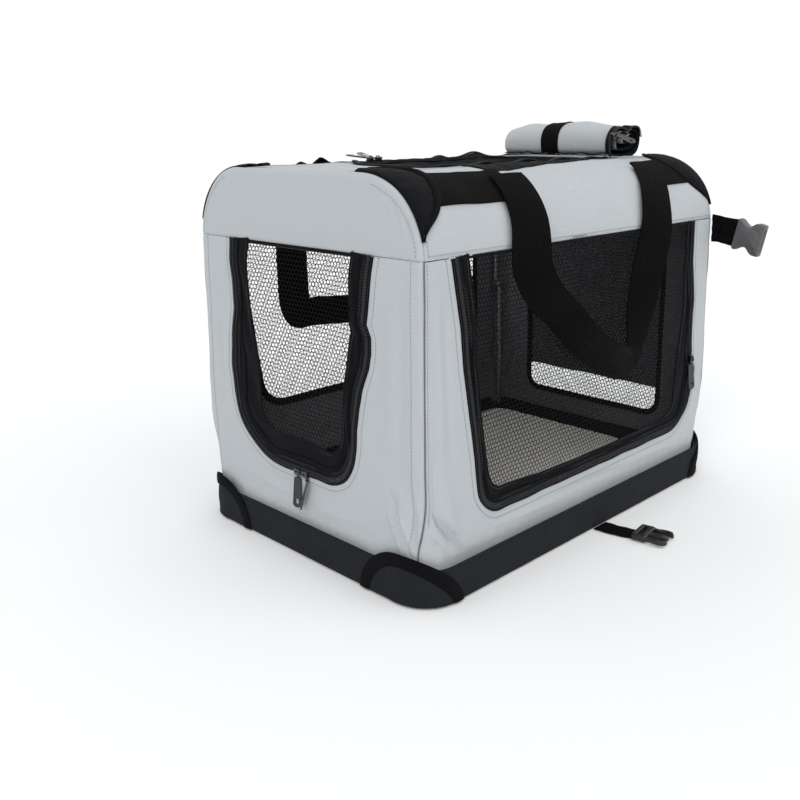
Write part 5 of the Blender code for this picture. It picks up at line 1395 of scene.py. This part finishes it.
def make_base_patches():
    """The reinforcing patches round the tray's corners: a smooth panel in a ribbed binding."""
    run = PATCH_END_REACH + TRAY_CORNER * math.pi / 2 + PATCH_SIDE_REACH
    share = (1 - np.cos(np.linspace(0, math.pi, 150))) / 2
    dome = np.sin(math.pi * np.clip(share, 0, 1) ** 0.86) ** 0.62
    top = PATCH_FOOT + 0.0005 + (PATCH_HEIGHT - PATCH_FOOT - 0.0005) * dome
    outline = read_evenly(np.column_stack([share * run, top]), 150)
    inner = outline - steady(left_normals(outline), 4) * BINDING
    inner[:, 1] = np.maximum(inner[:, 1], PATCH_FOOT)
    t = np.linspace(0, 1, 16)[:, None]
    along = outline[:, 0] + 0 * t
    z = PATCH_FOOT + (outline[:, 1] - 0.002 - PATCH_FOOT) * t
    panel = tray_side(along, 0.0007 + 0.0004 * ripples(along, z, 0.03, 70), z)
    bound = outline + (inner - outline) * t[..., None]
    bound = tray_side(bound[..., 0], 0.0012 + 0.0014 * crowned(t), bound[..., 1])
    uv = stacked(t * BINDING, along)
    for end, end_word, side, side_word in CORNERS:
        flip = (end, side, 1.0)
        parts = [cloth_part(panel * flip, THIN_THICKNESS, 0, 0)]
        parts.append(cloth_part(bound * flip, BINDING_THICKNESS, 1, 1, uv=uv))
        made = piece(f"corner_patch_{end_word}_{side_word}", parts, ["base_cloth", "binding"])
        dress(made, "root", [f"base_patch_{end_word}_{side_word}"])


# The pad's inset in metres and the share of its height, from its foot to its crown
MAT_PROFILE = [(0.010, 0.0), (0.002, 0.10), (0.0, 0.30), (0.0, 0.50), (0.002, 0.68), (0.007, 0.80),
               (0.016, 0.87), (0.035, 0.92), (0.06, 0.955), (0.09, 0.98), (0.12, 0.99), (0.145, 1.0)]


def make_mat():
    """The fleece pad: crowned, with soft rounded sides that draw in between its corners."""
    low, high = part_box("floor_mat")
    rings = []
    for inset, share in MAT_PROFILE:
        x, y = ring_points(high.x - inset, high.y - inset, max(0.03 - inset, 0.006), 260).T
        soft = np.minimum(0.0009 * ripples(x, y, 0.05, 80) * share, 0.0)
        rings.append(stacked(x, y, low.z + (high.z - low.z) * share + soft))
    part = rings_part(rings, [(0, 0, low.z), (0, 0, high.z - 0.0004)], flip=True)
    made = piece("fleece_pad", [part], ["fleece"])
    dress(made, "root", ["floor_mat"])


def make_closing_strap():
    run = np.linspace(0, 1, 40)[:, None]
    across = np.linspace(-1, 1, 19)[None]
    x = STRAP_START + 0.010 * run ** 2 + across * STRAP_WIDTH / 2
    y = -TRAY_HALF_WIDTH - GAP - STRAP_LENGTH * run
    z = 0.0019 + 0.0006 * np.sin(run * 2 * math.pi * 1.4) ** 2 + web_ribs((across + 1) / 2, 9, 0.0002)
    grid = stacked(x, y, z)
    uv = stacked(across * STRAP_WIDTH / 2, run * STRAP_LENGTH)
    part = cloth_part(grid, 0.0016, 0, 0, toward=0 * grid + (0, 0, 1.0), uv=uv)
    made = piece("closing_webbing", [part], ["webbing"])
    dress(made, "root", ["closing_strap"])


# Sliders, pulls and buckles: a profile gives a plate's inset and height, step by step, in millimetres

PULL_THICKNESS = 0.0016
PULL_SIZE = (0.0098, 0.0370)
ROLL_PULL_SIZE = (0.0078, 0.026)
SLIDER_OUTLINE = tapered((-0.0056, 0.0046, 0.0018), (0.00504, 0.003128, 0.0016), 4)
SLIDER_PROFILE = metres([(0.7, -1.6), (0, -0.9), (0, 0.4), (1.0, 0.8), (1.0, 1.6), (0, 2.0), (0, 3.0),
                         (0.9, 3.8)])
# Thin dark plates for the buckle's slits and mouth: painted shade of its hollow inside
HOLLOW_SHADE_PROFILE = metres([(0, -3.0), (0, 3.0)])
SHELL_PROFILE = metres([(2.2, -5.8), (0.8, -5.2), (0, -4.0), (0, 4.0), (0.8, 5.2), (2.2, 5.8)])
RIDGE_PROFILE = metres([(0, 5.2), (0, 6.4), (0.8, 6.8)])
BAR_PROFILE = metres([(1.4, -4.2), (0.4, -3.4), (0, -2.2), (0, 2.0), (0.4, 3.2), (1.4, 4.0)])
ARM_PROFILE = metres([(0.8, -2.8), (0, -2.0), (0, 2.2), (0.8, 3.0)])
TONGUE_PROFILE = metres([(0.8, -2.0), (0, -1.4), (0, 1.4), (0.8, 2.0)])

# The female half's side, and the male half's arm and rail, in millimetres
SHELL_SIDE = metres([(0, 20.0), (2.5, 22.2), (7.0, 21.2), (12.0, 17.2), (16.5, 14.8), (21.0, 15.0),
                     (24.5, 17.6), (27.0, 21.2), (30.0, 22.5), (37.0, 22.5), (40.0, 21.5)])
SLIT = metres([(19.5, 15.0), (26.2, 21.2), (24.5, 17.0), (20.5, 14.6)])
ARM = metres([(17.0, 12.0), (23.0, 11.8), (30.0, 13.2), (36.5, 12.8), (42.0, 10.0), (43.2, 11.8),
              (40.0, 17.2), (34.0, 18.8), (27.0, 18.0), (22.5, 16.0), (17.0, 16.8)])
RAIL = metres([(2, 17.8, 1), (16, 17.8, 1), (16, 14.0, 1), (2, 14.0, 1)])


def pull_parts(eye, down, wide, width, length, mark=0):
    """A zip's pull: a flat tab with a rim, a wire eye above and a long hole at its tip."""
    down = unit(down)
    wide = unit(wide)
    wide = unit(wide - down * np.dot(wide, down))
    face = np.cross(wide, down)
    half = width / 2
    corners = [(-half * 0.72, 0.0, half * 0.6), (half * 0.72, 0.0, half * 0.6)]
    corners += [(half, length, half * 0.98), (-half, length, half * 0.98)]
    low = length * 0.70
    high = length - half * 0.55
    hole = [(-half / 2, low), (half / 2, low), (half / 2, high), (-half / 2, high)]
    hole = [(u, v, half * 0.49) for u, v in hole]
    outer, inner = (aligned(read_evenly(rounded(some), 72, True)) for some in (corners, hole))
    flat = inner + (outer - inner) * np.linspace(0, 1, 5)[:, None, None]
    points = eye + flat[..., :1] * wide + flat[..., 1:] * down + face * PULL_THICKNESS / 2
    parts = [cloth_part(points, PULL_THICKNESS, mark, mark, True, toward=face + 0 * points)]
    for ring in (outer, inner):
        path = eye + ring[:, :1] * wide + ring[:, 1:] * down
        parts.append(tube_part(path, PULL_THICKNESS * 0.62, closed=True, mark=mark))
    turn = np.linspace(0, 2 * math.pi, 20, endpoint=False)
    loop = eye + np.outer(np.cos(turn) * 0.0016 - 0.0008, down) + np.outer(np.sin(turn) * 0.0017, face)
    parts.append(tube_part(loop, 0.0007, 6, True, mark))
    return parts


# Each zip's slider: its word, its way along the zip, out of the cloth, and its pull's fall and width
SLIDERS = [
    ("end", "_right", (0, 1, 0), (-1, 0, 0), (-0.10, 0.24, -0.97), (-0.62, -0.78, 0)),
    ("end", "_left", (0, -1, 0), (-1, 0, 0), (-0.03, 0.02, -1), (-0.55, 0.83, 0)),
    ("side", "", (0, 0, 1), (0, -1, 0), (0.13, -0.02, -0.99), (0.95, -0.3, 0)),
    ("roof", "_front", (1, 0, 0), (0, 0, 1), (-0.25, 0.93, 0.10), (0.93, 0.25, 0)),
    ("roof", "_rear", (-1, 0, 0), (0, 0, 1), (0.25, 0.93, 0.16), (0.93, -0.25, 0)),
]


def make_zip_hardware():
    """Each zip's slider and its hanging pull, in glossy black enamel."""
    for zip_word, end_word, along, out, down, wide in SLIDERS:
        slider = f"{zip_word}_slider{end_word}"
        pull = f"{zip_word}_pull{end_word}"
        fold = None if zip_word == "roof" else FOLD_FOOT
        out = np.array(out, float)
        low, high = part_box(slider)
        base = np.array((low + high) / 2)
        across = np.cross(out, along)
        parts = [slab_part(SLIDER_OUTLINE, SLIDER_PROFILE, base - out * 0.0010, along, across, out)]
        turn = np.linspace(0, math.pi, 14)
        arch = base + np.outer(np.cos(turn) * 0.0034, along) + np.outer(0.0022 + np.sin(turn) * 0.0019, out)
        parts.append(tube_part(arch, 0.0008))
        dress(piece(f"{slider}_body", parts, ["zip_metal"]), slider, [slider], fold)

        low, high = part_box(pull)
        fall = unit(np.array(down, float) * (np.abs(out) < 0.5))
        eye = np.array((low + high) / 2) - fall * (max(high - low) / 2 - 0.0020) + out * 0.0006
        parts = pull_parts(eye, down, wide, *PULL_SIZE)
        dress(piece(f"{pull}_tab", parts, ["zip_metal"]), pull, [pull], fold)


def buckle_tab(up):
    """The webbing tab that is rolled round the buckle's bar, and the bar's place."""
    run = np.linspace(0, 1, 40)
    across = np.linspace(-1, 1, 21)
    bend = run ** 1.5
    sway = 0.0012 * np.sin(run * 7) - 0.0016 * np.sin(run * math.pi)
    path = BUCKLE_ROOT + stacked(sway, -run * 0.0345, -0.0045 * bend)
    lean = BUCKLE_TILT * bend
    rise = stacked(0 * run, -np.sin(lean), np.cos(lean))
    half = 0.0195 - 0.0010 * np.sin(run * math.pi)
    grid = path[:, None] + rise[:, None] * (across * half[:, None])[..., None]
    grid[..., 0] -= 0.0006 * np.cos(across * 9) + 0.0006 * np.sin(run * 16)[:, None]
    uv = stacked(across * 0.0195, (run * 0.034)[:, None])
    roll = path[-1] + np.outer(np.linspace(-1, 1, 24) * 0.0185, up)
    tab = cloth_part(grid, 0.0034, 0, 0, toward=0 * grid + (-1.0, 0, 0), uv=uv)
    return [tab, tube_part(roll, 0.0029, 10)], path[-1]


def make_rear_buckle():
    """The female half of the side-release buckle hangs askew from its webbing tab at the rear seam."""
    out = np.array((0, -math.cos(BUCKLE_TILT), -math.sin(BUCKLE_TILT)))
    up = np.array((0, -math.sin(BUCKLE_TILT), math.cos(BUCKLE_TILT)))
    parts, end = buckle_tab(up)
    dress(piece("hanging_tab", parts, ["webbing"]), "rear_buckle", ["buckle_tab"], FOLD_FOOT)

    def plate(outline, profile, mark=0):
        return slab_part(outline, profile, end + out * 0.0012, out, up, (-1, 0, 0), mark)

    outline = read_evenly(SHELL_SIDE + [(u, -v) for u, v in SHELL_SIDE[::-1]], 150, True)
    ridge = tapered((0.0060, 0.0105, 0.002), (0.0330, 0.0120, 0.003), 6)
    parts = [plate(outline, SHELL_PROFILE), plate(ridge, RIDGE_PROFILE)]
    # The slits and the mouth are filled by dark plates, painted shade of the hollow inside the buckle
    for way in (-1, 1):
        parts.append(plate(read_evenly([(u, way * v) for u, v in SLIT], 24, True), HOLLOW_SHADE_PROFILE, 1))
    parts.append(plate(tapered((0.0385, 0.0165, 0.001), (0.0404, 0.0165, 0.0008), 3), HOLLOW_SHADE_PROFILE, 1))
    made = piece("hanging_buckle", parts, ["plastic", "plastic_dark"])
    dress(made, "rear_buckle", ["rear_buckle"], FOLD_FOOT)


def make_strap_buckle():
    """The male half on the ground: a slotted bar, two springy side arms and a middle tongue."""
    start = (STRAP_START + 0.0095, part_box("strap_buckle")[1].y, 0.0052)
    along = unit((0.16, -1.0, 0))
    across = (-along[1], along[0], 0)

    def plate(outline, profile):
        return slab_part(outline, profile, start, along, across, (0, 0, 1))

    parts = []
    for begin, stop, half in ((0.0, 0.0058, 0.0172), (0.0105, 0.0182, 0.0180)):
        parts.append(plate(tapered((begin, half, 0.002), (stop, half, 0.002), 4), BAR_PROFILE))
    for side in (-1, 1):
        parts.append(plate(rounded([(u, side * v, radius) for u, v, radius in RAIL], 3), BAR_PROFILE))
        parts.append(plate(read_evenly([(u, side * v) for u, v in ARM], 90, True), ARM_PROFILE))
    parts.append(plate(tapered((0.016, 0.0055, 0.001), (0.041, 0.0040, 0.002), 5), TONGUE_PROFILE))
    dress(piece("ground_buckle", parts, ["plastic_dark"]), "root", ["strap_buckle"])


# The stage

def make_floor():
    mesh = bpy.data.meshes.new("floor")
    corners = [(-FLOOR_HALF, -FLOOR_HALF, 0), (FLOOR_HALF, -FLOOR_HALF, 0)]
    corners += [(FLOOR_HALF, FLOOR_HALF, 0), (-FLOOR_HALF, FLOOR_HALF, 0)]
    mesh.from_pydata(corners, [], [(0, 1, 2, 3)])
    floor = bpy.data.objects.new("floor", mesh)
    floor.location.z = -FLOOR_DROP
    bpy.context.scene.collection.objects.link(floor)
    made, tree, shader = new_material("pale_floor")
    put(tree, shader, Base_Color=(0.97, 0.97, 0.97, 1), Roughness=0.9, Specular_IOR_Level=0.0)
    mesh.materials.append(made)


def make_world():
    """Soft even light, seen as plain white by the camera and in glossy things."""
    world = bpy.data.worlds.new("studio")
    bpy.context.scene.world = world
    world.use_nodes = True
    tree = world.node_tree
    light = put(tree, tree.nodes["Background"], Color=(0.96, 0.98, 1.0, 1), Strength=0.55)
    seen = new_node(tree, "Background", Color=(1, 1, 1, 1), Strength=1.0)
    rays = new_node(tree, "LightPath").outputs
    direct = combined(tree, rays["Is Camera Ray"], rays["Is Glossy Ray"], "MAXIMUM")
    direct = combined(tree, direct, rays["Is Transmission Ray"], "MAXIMUM")
    mix = new_node(tree, "MixShader", Fac=direct)
    feed(tree, mix.inputs[1], light.outputs["Background"])
    feed(tree, mix.inputs[2], seen.outputs["Background"])
    put(tree, tree.nodes["World Output"], Surface=mix.outputs["Shader"])


def make_sun(name, place, spread, strength):
    """Even soft light from a direction."""
    lamp = bpy.data.lights.new(name, "SUN")
    lamp.angle = math.radians(spread)
    lamp.energy = strength
    holder = bpy.data.objects.new(name, lamp)
    holder.location = place
    holder.rotation_euler = (-Vector(place)).to_track_quat("-Z", "Y").to_euler()
    bpy.context.scene.collection.objects.link(holder)


def make_camera():
    data = bpy.data.cameras.new("camera")
    data.lens = LENS
    data.sensor_width = SENSOR_WIDTH
    data.shift_y = CAMERA_SHIFT
    data.clip_start = 0.01
    camera = bpy.data.objects.new("camera", data)
    level = math.cos(CAMERA_PITCH)
    forward = Vector((math.sin(CAMERA_YAW) * level, math.cos(CAMERA_YAW) * level, -math.sin(CAMERA_PITCH)))
    right = Vector((math.cos(CAMERA_YAW), -math.sin(CAMERA_YAW), 0))
    up = right.cross(forward)
    rolled = right * math.cos(CAMERA_ROLL) + up * math.sin(CAMERA_ROLL)
    raised = -right * math.sin(CAMERA_ROLL) + up * math.cos(CAMERA_ROLL)
    turn = Matrix((rolled, raised, -forward)).transposed().to_4x4()
    camera.matrix_world = Matrix.Translation(CAMERA_PLACE) @ turn
    bpy.context.scene.collection.objects.link(camera)
    bpy.context.scene.camera = camera


def finish_cad_nodes():
    """The frame and the board keep their solids and get better materials."""
    steel = ["base_frame", "front_leg_right", "front_leg_left", "rear_leg_right", "rear_leg_left",
             "front_hoop", "rear_hoop", "roof_bar_right", "roof_bar_left"]
    for name in steel:
        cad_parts[name].material_slots[0].material = finish["steel"]
    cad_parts["floor_board"].material_slots[0].material = finish["board"]


make_camera()
make_floor()
make_world()
for sun in SUNS:
    make_sun(*sun)
make_base()
make_base_patches()
make_mat()
make_end_walls()
make_side_walls()
make_corner_seams()
make_windows()
make_rear_flap()
make_doors()
make_hood()
make_roof()
make_top_patches()
make_bands()
make_handles()
make_roll()
make_roll_strap()
make_closing_strap()
make_zip_hardware()
make_rear_buckle()
make_strap_buckle()
finish_cad_nodes()

bpy.context.scene.view_settings.view_transform = "Standard"
